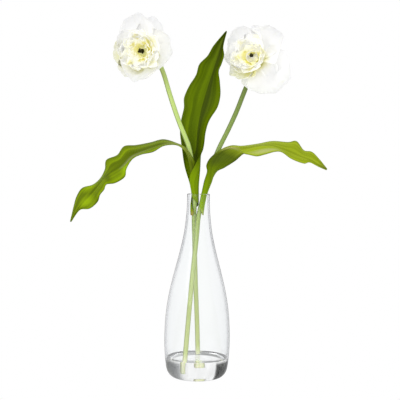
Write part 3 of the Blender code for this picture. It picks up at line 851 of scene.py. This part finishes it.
# %% The broad upright leaf
centre_foot = sheath(left_line, [
    (177, 3.7, -165, -140, -115), (180, 4.0, -178, -120, -70), (183, 4.2, -172, -95, -20),
    (186, 4.3, -155, -55, 40), (189, 4.3, -130, -20, 105), (193, 4.1, -108, 0, 190),
    (199, 3.8, -92, 0, 243), (211, 4.9, -84, 0, 252),
])
centre_foot.append(foot_rib((-6.5, -1.5, 226), 7.9, -80, -5, 180))
centre_foot.append(foot_rib((-7.5, 0.5, 236), 9.3, -75, 0, 140))
centre_blade = [
    ((-18, -2, 247), (-3, 10, 248), (4.5, 1, 248.5)),
    ((-20.5, -1, 266), (-1.5, 12, 267), (7, 3, 267)),
    ((-19.5, 4, 280), (0.5, 14, 281.5), (11, 6, 280)),
    ((-16.7, 5, 293), (3, 16, 294), (19.5, 8, 294)),
    ((-16.6, 6, 304), (6.5, 18, 306.5), (22.7, 10, 307.5)),
    ((-11.5, 11, 317), (10, 20, 319), (22, 12, 322)),
    ((-4, 14, 329.5), (14, 22, 332), (20.7, 16, 334)),
    ((-0.5, 16, 341.5), (17.5, 24, 343), (24, 18, 343)),
    ((8.5, 20, 351.5), (20.5, 26, 352.5), (26.5, 21, 352.5)),
    ((15, 23, 363), (24, 28, 364.5), (25.6, 24, 362.5)),
    ((28.2, 28.6, 379.6), (28.9, 29.4, 380.4), (29.6, 28.6, 379.6)),
]
surface = lofted(centre_foot, centre_blade, -2.0, 0.0)
make_leaf("broad_leaf", surface, 32, 170, centre_green, "leaf_centre")

# %% The drooping leaf
left_foot = sheath(left_line, [
    (213, SHEATH_RADIUS, 165, 180, 195), (218, SHEATH_RADIUS, 130, 175, 220),
    (224, SHEATH_RADIUS, 115, 175, 228), (231, SHEATH_RADIUS + 0.3, 118, 180, 232),
])
left_blade = [
    ((-5.5, -9.5, 237), (-9, -11, 239), (-12.5, -9.5, 241)),
    ((-13.8, -11, 249), (-15.4, -13, 249), (-16.7, -16, 247.4)),
    ((-23.7, -5, 254.3), (-24.1, -10, 253.3), (-24.4, -16, 252)),
    ((-38.5, 3, 258.5), (-37.5, -8, 253), (-37.5, -16, 251)),
    ((-53, 3, 255), (-50.5, -9, 249), (-48.5, -18, 244.5)),
    ((-68.5, 4, 252), (-64, -10, 243), (-61, -21, 241.5)),
    ((-81, 0, 250.5), (-72, -12, 238), (-70, -24, 236.5)),
    ((-88, -4, 241), (-80, -15, 230), (-76, -27, 226.5)),
    ((-99.3, -6, 235.5), (-86.5, -17, 225.7), (-78, -26, 217.5)),
    ((-100.5, -9, 225.5), (-93.5, -19, 221.5), (-88, -25, 211)),
    ((-105, -12, 216), (-99.7, -21, 216), (-96.7, -29, 209.5)),
    ((-112.5, -16, 209), (-105.3, -23, 209), (-99, -32, 204)),
    ((-123.6, -18, 205.3), (-110.4, -25, 202), (-103, -33, 198.5)),
    ((-129.4, -20, 196.3), (-117.4, -27, 194), (-105.7, -32, 191)),
    ((-131.3, -25, 187.4), (-123, -29, 187.5), (-114, -33, 184)),
    ((-132.5, -29, 179.7), (-127.5, -31, 181), (-124, -33, 182.7)),
    ((-134.0, -33.3, 170.6), (-133.4, -34, 170), (-132.6, -34.5, 170.6)),
]
surface = lofted(left_foot, left_blade, 1.2, 1.0)
make_leaf("drooping_leaf", surface, 28, 180, left_green, "leaf_left")

# %% The arching leaf
right_foot = sheath(right_line, [
    (177, 5.0, 125, 108, 91), (184, 4.2, 180, 130, 80), (190, 3.7, 215, 140, 65),
    (201, SHEATH_RADIUS, 240, 145, 50), (213, 4.6, 238, 145, 55),
])
right_blade = [
    ((9, -1.5, 224), (13, -4, 223.5), (19.5, -1, 224)),
    ((8.3, -1.5, 231), (15, -6, 232), (27.5, -8, 228.5)),
    ((12.5, -2, 239), (22, -6, 243), (38.5, -14, 235.5)),
    ((22.7, -2.5, 247.5), (33, -4.5, 249), (47, -12, 243)),
    ((34.7, 2, 252.6), (45, -3, 248), (51.6, -9, 243)),
    ((47, 7, 252.5), (55, -2, 250), (62, -10, 241)),
    ((64, 9, 255), (68, -3, 252.5), (70.7, -11, 243)),
    ((80, 8, 258), (80, -4, 252), (81.3, -12, 246)),
    ((96.7, 6, 257), (91.5, -5, 248), (88.7, -13, 245.5)),
    ((106, 4, 258), (101, -6, 244), (99, -12, 238.5)),
    ((113.6, 1, 248.3), (111.7, -8, 239.8), (112, -13, 233.7)),
    ((122, -3, 246.4), (120.3, -9, 236.6), (118, -14, 235)),
    ((130, -7, 238), (128.6, -11, 232), (128, -13, 230.5)),
    ((137.2, -11.4, 228.5), (137.1, -12, 227.8), (136.4, -12.5, 227.1)),
]
surface = lofted(right_foot, right_blade, 1.2, 2.0)
make_leaf("arching_leaf", surface, 28, 180, right_green, "leaf_right")

# %% [markdown]
# ## Silk for the petals
# The petals are white silk, dyed olive and yellow at the foot and creamier towards the heart of the
# flower. The olive and yellow at the foot are partly the silk's dye and partly painted shade: where a
# petal's foot shows in a gap between petals, its olive stands for the shade there. Each petal carries a
# number on its points that says how much of the foot's colour shows, and a soft cloud breaks it into
# blotches. Thin silk lets light through, which subsurface scattering gives, and its folds and weave are
# a light bump along the petal; the folds also tint the silk a little darker in their grooves, a faint
# painted shade. In the real flower light goes on from petal to petal many more times than a renderer
# follows it, and without that the heart turns a dirty grey. A faint glow of the silk's own colour,
# strongest deep in the flower, is painted light that stands in for it.
# Two deep cups below the right bloom's heart would look hollow, so they keep more of it at the rim.

# %% Petal finish
CLOUD_MIDDLE = 0.45


def silk(name, white, yellow, olive, clouds, handed_on, at_rim):
    """Silk olive at the foot, then yellow, then white; the olive and yellow are partly dye and partly
    painted shade.

    clouds is how blotchy the colour is, handed_on the painted glow deep down and at_rim its share at
    the rim.
    """
    finish, tree, shader = new_finish(f"{name} silk", {
        "Roughness": 0.78, "Specular IOR Level": 0.2, "Sheen Weight": 0.1, "Subsurface Weight": 1.0,
        "Subsurface Radius": (1.0, 0.98, 0.9), "Subsurface Scale": 0.006,
        "Emission Strength": handed_on})
    # The foot's olive and yellow are partly dye and partly painted shade in the gaps between petals.
    dye_and_shade = tree.nodes.new("ShaderNodeAttribute")
    dye_and_shade.attribute_name = "dye_and_shade"
    cloud = speckle(tree, "Object", (120.0,) * 3, 2.0)
    uneven = reckoned(tree, "Math", "MULTIPLY_ADD", cloud, clouds, -clouds * CLOUD_MIDDLE)["Value"]
    amount = reckoned(tree, "Math", "ADD", dye_and_shade.outputs["Fac"], uneven)["Value"]
    tone = ramp(tree, amount, (0.08, white), (0.5, yellow), (0.95, olive))
    folds = speckle(tree, "UV", (14.0, 1.5, 1.0), 3.0, 0.3)
    weave = speckle(tree, "UV", (70.0, 70.0, 1.0), 2.0)
    # The folds tint the silk a little darker in their grooves, a faint painted shade.
    tone = tinted(tree, 0.5, tone, ramp(tree, folds, (0.3, (246, 246, 238)), (0.6, 1.0)))
    tree.links.new(tone, shader.inputs["Base Color"])
    relief(tree, shader, blended(tree, 0.1, folds, weave), 0.2, 0.4)
    to_rim = way_along(tree, "UV", "Y")
    deep = ramp(tree, to_rim, (0.3, 1.0), (0.75, (1.0 + at_rim) / 2), (1.0, at_rim))
    tree.links.new(tinted(tree, 1.0, tone, deep), shader.inputs["Emission Color"])
    print("petal finish:", finish.name)
    return finish


# The outer silk's deeper olive paints the shade in the gaps beside the outer petals.
SILKS = {
    "outer": silk("outer", (248, 248, 249), (240, 238, 200), (190, 187, 100), 0.6, 0.165, 0.02),
    "middle": silk("middle", (250, 250, 247), (249, 244, 188), (232, 226, 128), 2.4, 0.15, 0.6),
    "inner": silk("inner", (250, 249, 239), (249, 243, 168), (234, 226, 110), 2.6, 0.17, 0.7),
    "heart": silk("heart", (250, 248, 226), (248, 242, 172), (240, 232, 140), 2.0, 0.17, 0.8),
    "cupped": silk("cupped", (249, 249, 249), (244, 241, 204), (204, 202, 124), 0.6, 0.165, 0.6),
}

# %% [markdown]
# ## The petals
# A petal is narrow at its foot, widest past the middle and blunt at the tip. Its midrib leaves the
# knob of the flower at one angle, its lean, and curls to another, and its sides close round like a
# cupped hand. Waves along the rim and a jagged edge make it silk rather than paper. Rings of alike
# petals are called whorls, and a rule makes the petals of a whorl uneven, as a florist's hand would.

# %% The midrib of a petal
LIP_START = 0.72
RIB_STEPS = 12


def flower_frame(base, facing):
    """Columns: the viewer's right, the viewer's up and the way the flower faces."""
    axis = Vector(facing).normalized()
    up = (Vector((0, 0, 1)) - axis * axis.z).normalized()
    right = up.cross(axis)
    stand = Matrix((right, up, axis)).transposed().to_4x4()
    stand.translation = Vector(base)
    return stand


def midrib(length, start, lean, curl, lip):
    """Points (radius, height, angle from the flower's axis) up the middle of a petal."""
    stride = length / RIB_STEPS
    point = Vector((*start, radians(lean)))
    points = [point]
    for step in range(RIB_STEPS):
        v = (step + 0.5) / RIB_STEPS
        rolled_back = max(0.0, v - LIP_START) / (1.0 - LIP_START)
        angle = radians(lean + (curl - lean) * v + lip * rolled_back ** 2)
        point = Vector((point.x + stride * sin(angle), point.y + stride * cos(angle), angle))
        points.append(point)
    return points


print("a rim may roll back from", LIP_START, "of a petal's length")

# %% The outline and the folds of a petal
WIDEST = 0.55
FOOT_SHARE = 0.22
TAPER = 0.28


def half_width(v):
    """A petal's width at v, as a share of the widest: narrow at the foot, blunt at the tip."""
    if v < WIDEST:
        return FOOT_SHARE + (1.0 - FOOT_SHARE) * sin(pi / 2 * v / WIDEST)
    return 1.0 - TAPER * ((v - WIDEST) / (1.0 - WIDEST)) ** 1.5


def jagged_rim(u, phase):
    """How much shorter a petal is at u, as a share of its length."""
    broad = 0.02 * sin(6.5 * u + phase)
    return broad + 0.01 * sin(17.0 * u + 2.0 * phase) + 0.003 * sin(37.0 * u)


def silk_waves(u, v, phase):
    """Folds that grow towards the sides and the rim, from the broadest to the smallest."""
    folds = u * u * v * sin(6.0 * v + 2.0 * u + phase)
    folds += 0.6 * v ** 3 * sin(4.4 * u + 1.7 * phase)
    folds += 0.25 * v ** 4 * sin(8.0 * u + 2.3 * phase)
    return folds + 0.12 * abs(u) ** 3 * v * sin(12.0 * v + 3.0 * u + phase)


print("a petal is widest at", WIDEST, "of its length")

# %% Bend a sheet into a petal
def petal_surface(stand, shape):
    """The rule of a petal; its turn is counter-clockwise from the viewer's right."""
    rib = midrib(shape["length"], shape["start"], shape["lean"], shape["curl"], shape["lip"])
    sides = radians(shape["cup"])
    turn = radians(shape["turn"])
    phase = shape["phase"]
    outward = Vector((cos(turn), sin(turn), 0.0))
    sideways = Vector((-sin(turn), cos(turn), 0.0))
    axis = Vector((0.0, 0.0, 1.0))

    def surface(u, v):
        half = half_width(v) * shape["width"] / 2
        radius, height, angle = smooth(rib, v * (1.0 - 0.2 * u * u - jagged_rim(u, phase)))
        inward = axis * sin(angle) - outward * cos(angle)
        lift = half * (1.0 - cos(sides * u)) / sides + shape["wave"] * silk_waves(u, v, phase)
        point = outward * radius + axis * height + sideways * (half * sin(sides * u) / sides)
        return stand @ (point + inward * lift)
    return surface


def petal(turn, length, width, lean, curl, cup=40, wave=2.0, phase=0.0, start=(5.0, 0.0), lip=0.0,
          dye_and_shade=0.3):
    """Lengths in millimetres, angles in degrees; the last argument is the share of the length coloured
    at the foot, by dye and by painted shade.
    """
    return dict(turn=turn, length=length, width=width, lean=lean, curl=curl, cup=cup, wave=wave,
                phase=phase, start=start, lip=lip, dye_and_shade=dye_and_shade)


def whorl(count, first, length, width, lean, curl, cup, wave, start, lip, longer=0.0, towards=0.0,
          dye_and_shade=0.4):
    """A ring of petals made uneven by a rule; longer is how much longer they are at towards."""
    petals = []
    for index in range(count):
        uneven = sin(index * 2.4 + first)
        turn = first + 360.0 / count * index + 7.0 * uneven
        size = 1.0 + 0.08 * uneven + longer * cos(radians(turn - towards))
        phase = index * 1.9 + first
        petals.append(petal(turn, length * size, width, lean, curl + 9.0 * uneven, cup, wave, phase,
                            start, lip, dye_and_shade))
    return petals


print("a plain petal:", petal(0, 30, 40, 80, 40))

# %% Petals of the left bloom
# The outer petals whose foot colour reaches far up, 0.8 and more, have it as painted shade in the gaps
# beside them.
left_layers = [
    [
        petal(98, 38, 50, 80, 48, cup=45, start=(5.0, -2.0), lip=15),
        petal(66, 33, 36, 86, 72, phase=2.0, start=(5.0, -3.0)),
        petal(10, 37, 52, 80, 44, cup=50, phase=1.0, start=(5.0, -2.0)),
        petal(-50, 19, 26, 86, 60, phase=3.0, start=(5.0, -3.0), dye_and_shade=1.8),
        petal(-97, 34, 50, 76, 32, cup=50, start=(5.0, -1.5), dye_and_shade=0.8),
        petal(-140, 32, 36, 84, 60, phase=1.5, start=(5.0, -2.5), dye_and_shade=1.8),
        petal(-176, 32, 42, 84, 64, phase=3.5, start=(5.0, -2.5), dye_and_shade=2.4),
        petal(-170, 27, 40, 76, 26, cup=50, phase=0.5, start=(5.0, -1.0), dye_and_shade=0.8),
        petal(142, 31, 36, 76, 34, cup=46, phase=4.0, start=(5.0, -1.0)),
    ],
    whorl(6, 20, 25, 26, 66, 22, 50, 2.6, (5.0, 2.0), 25, 0.08, 10, dye_and_shade=0.5)
    + whorl(6, 50, 22, 21, 62, 12, 45, 2.6, (5.0, 3.0), 25, 0.08, 10, dye_and_shade=0.5),
    whorl(6, 10, 18, 16, 56, 2, 45, 2.4, (4.8, 4.5), 20, dye_and_shade=0.6),
    whorl(5, 30, 12, 10, 50, -4, 45, 1.6, (4.6, 6.0), 20, dye_and_shade=0.3),
]
print(sum(len(layer) for layer in left_layers), "petals in the left bloom")

# %% Petals of the right bloom
# The petal at -128 has its foot colour far up, 1.8, as painted shade in the gap beside it.
right_layers = [
    [
        petal(40, 40, 54, 78, 36, cup=50, start=(5.0, -1.0), lip=30),
        petal(-43, 57, 62, 82, 46, cup=45, wave=1.5, phase=1.0, start=(5.0, -1.0), dye_and_shade=0.2),
        petal(-128, 31, 36, 80, 32, cup=50, phase=0.5, start=(5.0, -1.5), dye_and_shade=1.8),
        petal(176, 33, 46, 78, 20, cup=58, phase=1.5, start=(5.0, -2.0)),
        petal(122, 38, 46, 80, 30, cup=52, phase=4.0, start=(5.0, -2.0)),
        petal(84, 34, 36, 84, 50, cup=45, phase=2.0, start=(5.0, -3.0)),
    ],
    whorl(6, 18, 24, 28, 64, 10, 58, 2.0, (5.0, 2.0), 10, 0.22, 165, dye_and_shade=0.35)
    + whorl(5, 60, 21, 24, 60, 4, 55, 2.0, (5.0, 3.0), 10, 0.22, 165, dye_and_shade=0.35),
    whorl(5, 40, 17, 18, 56, -2, 52, 2.0, (4.8, 4.5), 10, 0.15, 165, dye_and_shade=0.4),
    whorl(5, 70, 13.5, 11, 44, -66, 48, 1.4, (4.6, 6.0), 10, 0.12, 190, dye_and_shade=0.5),
    [
        petal(-8, 34, 38, 86, 60, phase=2.5, start=(5.0, -3.0), dye_and_shade=0.3),
        petal(-66, 39, 46, 86, 62, phase=3.0, start=(5.0, -3.0), dye_and_shade=0.4),
    ],
]
print(sum(len(layer) for layer in right_layers), "petals in the right bloom")

# %% [markdown]
# ## Colouring the foot of a petal, with dye and painted shade
# How much of the foot's colour shows, partly dye and partly painted shade, is worked out where the
# petal is drawn, from v along it: full at the foot, gone past the length given for the petal, and it
# creeps up a little further along the midrib, as dye does in silk.
# Each layer of a bloom becomes one piece, and its sheets are finer where its petals are larger.

# %% Cut and dye the petals
PETAL_THICKNESS = 0.3
LAYERS = [("outer", 24, 34), ("middle", 20, 28), ("inner", 16, 22), ("heart", 12, 16),
          ("cupped", 24, 34)]


def make_petals(side, base, facing, layers):
    """One piece for each layer of a bloom; returns how the flower stands."""
    stand = flower_frame(base, facing)
    for shapes, (layer, across, along) in zip(layers, LAYERS):
        mould = new_mould()
        dye_and_shade = mould.verts.layers.float.new("dye_and_shade")
        for shape in shapes:
            surface = petal_surface(stand, shape)
            for point, u, v in flat_sheet(mould, across, along):
                reach = shape["dye_and_shade"] * (1.25 - 0.45 * u * u)
                point[dye_and_shade] = 1.0 - ease(v, 0.0, reach)
                point.co = surface(u, v) * MM
        name = f"{side}_{layer}_petals"
        piece = finished(name, mould, [SILKS[layer]], f"bloom_{side}_petals")
        thickened(piece, PETAL_THICKNESS)
    return stand


stands = {
    "left": make_petals("left", BLOOM_LEFT_BASE, BLOOM_LEFT_FACING, left_layers),
    "right": make_petals("right", BLOOM_RIGHT_BASE, BLOOM_RIGHT_FACING, right_layers),
}

# %% [markdown]
# ## The knob that carries the petals
# Behind the petals a moulded knob, the receptacle, grips the stem. It shows from the back and the
# side, and a sliver of it shows between the petals of the heart. It is spun like the vase, then
# turned to face with its flower.

# %% Make the receptacles
knob_green, tree, shader = new_finish("receptacle", {"Roughness": 0.6})
grain = speckle(tree, "Object", (500.0,) * 3)
tone = ramp(tree, grain, (0.3, (216, 216, 146)), (0.7, (236, 232, 176)))
tree.links.new(tone, shader.inputs["Base Color"])
relief(tree, shader, grain, 0.3, 0.2)
CORE_RADII = [(4.3, -6.0), (5.6, -3.0), (6.6, 1.0), (6.4, 5.0), (5.2, 8.0)]
SOCKET_RADIUS = STEM_RADIUS + 0.4
SOCKET_DEPTH = 4.0
SOCKET_END = CORE_RADII[0][1] + SOCKET_DEPTH


def face_with_flower(mould, stand):
    """Turn a mould that was spun upright to face as its flower does, and take it there."""
    place = stand.copy()
    place.translation = stand.translation * MM
    bmesh.ops.transform(mould, matrix=place, verts=mould.verts)


def make_knob(side, stand):
    socket = [(0.0, SOCKET_END), (SOCKET_RADIUS, SOCKET_END), (SOCKET_RADIUS, CORE_RADII[0][1])]
    mould = spun(socket + smooth_section(CORE_RADII, 16) + [(0.0, CORE_RADII[-1][1])], 40)
    face_with_flower(mould, stand)
    finished(f"{side}_knob", mould, [knob_green], f"bloom_{side}_petals")


for side, stand in stands.items():
    make_knob(side, stand)

# %% [markdown]
# ## Pistil and stamens
# A tulip's pistil is a stout pillar with a three-lobed top, and six stamens stand round it, each a
# thin stalk with a long anther. Here all of them are moulded in dark olive plastic. The pillar is
# spun and its top is pushed out at three places. An anther is a sphere, stretched and set on its stalk.

# %% Finish of the flower's centre
centre_dark, tree, shader = new_finish("dark centre", {"Roughness": 0.55, "Specular IOR Level": 0.15})
grain = speckle(tree, "Object", (700.0,) * 3)
tone = ramp(tree, grain, (0.35, (18, 16, 2)), (0.55, (40, 37, 4)), (0.75, (104, 96, 10)))
tree.links.new(tone, shader.inputs["Base Color"])
relief(tree, shader, grain, 0.5, 0.3)
print("centre finish:", centre_dark.name)

# %% Shape a pistil, a stalk and an anther
CENTRE_TIP = 17.0
PEG_BOTTOM = 8.3
PILLAR = [(2.3, PEG_BOTTOM), (2.2, 9.5), (1.5, 11.0), (1.3, 13.0), (1.6, 15.2), (1.9, 16.4),
          (1.2, CENTRE_TIP)]
LOBE_HEIGHT = 0.22


def stalk(mould, start, end, radius):
    """Roll a straight stalk from start to end into the mould."""
    rule = rolled([start, start.lerp(end, 0.5), end], radius, 0.0, 0.0)
    laid_out(mould, rule, 8, 6)


def anther(mould, foot, tip, width):
    """Stretch a sphere along the line from foot to tip."""
    way = tip - foot
    made = bmesh.ops.create_uvsphere(mould, u_segments=12, v_segments=8, radius=1.0)
    stretch = Matrix.Diagonal((width, width, way.length / 2, 1.0))
    lean = way.to_track_quat("Z", "Y").to_matrix().to_4x4()
    place = Matrix.Translation((foot + tip) / 2 * MM) @ lean @ stretch @ Matrix.Scale(MM, 4)
    bmesh.ops.transform(mould, matrix=place, verts=made["verts"])


def lobed_pillar():
    """Spin the pistil and push its top out at three places."""
    mould = spun([(0.0, PEG_BOTTOM)] + smooth_section(PILLAR, 24) + [(0.0, CENTRE_TIP - 0.2)], 36)
    to_right = Vector((1.0, 0.0))
    for point in mould.verts:
        x, y, z = point.co / MM
        lobes = LOBE_HEIGHT * ease(z, 13.5, 16.0)
        swell = 1.0 + lobes * sin(3.0 * to_right.angle_signed(Vector((x, y)), 0.0))
        point.co = Vector((x * swell, y * swell, z)) * MM
    return mould


print("the pistil is", round(CENTRE_TIP - PEG_BOTTOM, 1), "mm tall")

# %% Set the stamens round the pistil
STAMENS = 6
ANTHER_LENGTH = 2.6
STALK_RADIUS = 0.4
ANTHER_RADIUS = 0.55
PEG_RADIUS = 1.9


def make_centre(side, stand):
    mould = lobed_pillar()
    face_with_flower(mould, stand)
    mould.loops.layers.uv.new("UVMap")
    for index in range(STAMENS):
        turn = 2 * pi * index / STAMENS
        way = Vector((cos(turn), sin(turn), 0.0))
        height = 13.4 + 0.6 * sin(index * 2.1)
        splay = 2.6 + 0.6 * cos(2.0 * turn + 1.2)
        foot = stand @ (way * PEG_RADIUS + Vector((0, 0, PEG_BOTTOM + 0.4)))
        knee = stand @ (way * (splay - 0.3) + Vector((0, 0, height - ANTHER_LENGTH)))
        tip = stand @ (way * splay + Vector((0, 0, height)))
        stalk(mould, foot, knee, STALK_RADIUS)
        anther(mould, knee, tip, ANTHER_RADIUS)
    bmesh.ops.recalc_face_normals(mould, faces=mould.faces)
    finished(f"{side}_centre", mould, [centre_dark], f"bloom_{side}_centre")


for side, stand in stands.items():
    make_centre(side, stand)

# %% [markdown]
# ## The studio
# The photograph is a cut-out look: white wall, white table lit from below, and soft light from all
# round, so that hardly a shadow is left. The world gives the soft light, one large lamp from the
# upper left gives the petals their form, and a weaker one on the right opens the shadows. A real
# studio is white only where the picture is taken. The rest of the room is dimmer, and that is what
# lights cloth and what glass mirrors. So table and world are set for each kind of ray: full white to
# the eye, also through glass, a little less to cloth, and half of it in mirrors, low in the room.

# %% What each kind of ray meets
SOFT_LIGHT = 0.8
MIRRORED = 0.5


def by_ray(tree, strength, mirrored_as):
    """Full white to look at and through glass, less as light on cloth, mirrored_as in mirrors."""
    ray = tree.nodes.new("ShaderNodeLightPath").outputs
    soft = reckoned(tree, "Math", "MULTIPLY_ADD", ray["Is Diffuse Ray"], SOFT_LIGHT - 1.0, 1.0)["Value"]
    glossy = ray["Is Glossy Ray"]
    mirrored = reckoned(tree, "Math", "MULTIPLY", glossy, ray["Is Reflection Ray"])["Value"]
    dim = tree.nodes.new("ShaderNodeMix")
    dim.data_type = "FLOAT"
    for socket, value in ((0, mirrored), (2, soft), (3, mirrored_as)):
        feed(tree, dim.inputs[socket], value)
    tree.links.new(dim.outputs[0], strength)


print("cloth is lit at", SOFT_LIGHT, "and mirrors at", MIRRORED, "of white")

# %% The lit table
FLOOR_REACH = 6.0
FLOOR_DROP = 0.0006
mould = bmesh.new()
bmesh.ops.create_grid(mould, x_segments=1, y_segments=1, size=FLOOR_REACH)
bmesh.ops.translate(mould, vec=(0.0, 0.0, -FLOOR_DROP), verts=mould.verts)
floor_mesh = bpy.data.meshes.new("lit table")
mould.to_mesh(floor_mesh)
mould.free()
lit_white, tree, shader = new_finish("lit white table", {
    "Roughness": 0.9, "Base Color": as_light(0.0), "Specular IOR Level": 0.0, "Emission Color": CLEAR})
by_ray(tree, shader.inputs["Emission Strength"], MIRRORED)
floor_mesh.materials.append(lit_white)
floor = in_scene("lit table", floor_mesh)
floor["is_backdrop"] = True
print("the table reaches", FLOOR_REACH, "m each way")

# %% Lamps and world
LAMPS_AIM = Vector((0.0, 0.0, 0.28))


def soft_lamp(name, place, size, watts):
    """A round soft box at place, pointed at the flowers."""
    lamp = bpy.data.lights.new(name, "AREA")
    lamp.shape = "DISK"
    lamp.size = size
    lamp.energy = watts
    holder = in_scene(name, lamp)
    holder.location = place
    holder.rotation_euler = (LAMPS_AIM - Vector(place)).to_track_quat("-Z", "Y").to_euler()
    holder.visible_camera = False


soft_lamp("key", (-0.75, -1.15, 1.0), 1.5, 10.0)
soft_lamp("fill", (0.9, -1.2, 0.45), 1.2, 1.5)

world = bpy.data.worlds.new("white studio")
bpy.context.scene.world = world
world.use_nodes = True
tree = world.node_tree
air = tree.nodes["Background"]
air.inputs["Color"].default_value = CLEAR
wall = ramp(tree, way_along(tree, "Generated", "Z"), (0.05, MIRRORED), (0.15, 1.0))
by_ray(tree, air.inputs["Strength"], wall)
bpy.context.scene.view_settings.view_transform = "Standard"
print("two lamps and a white world")

# %% [markdown]
# ## Sizes
# The sizes of the imported box and of the dressed one are printed.

# %% Print both boxes
dressed_box = [list(corner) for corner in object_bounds()]
for name, (low, high) in (("packed", cad_box), ("dressed", dressed_box)):
    print(name, "size in mm:", [round((b - a) * 1000, 1) for a, b in zip(low, high)])
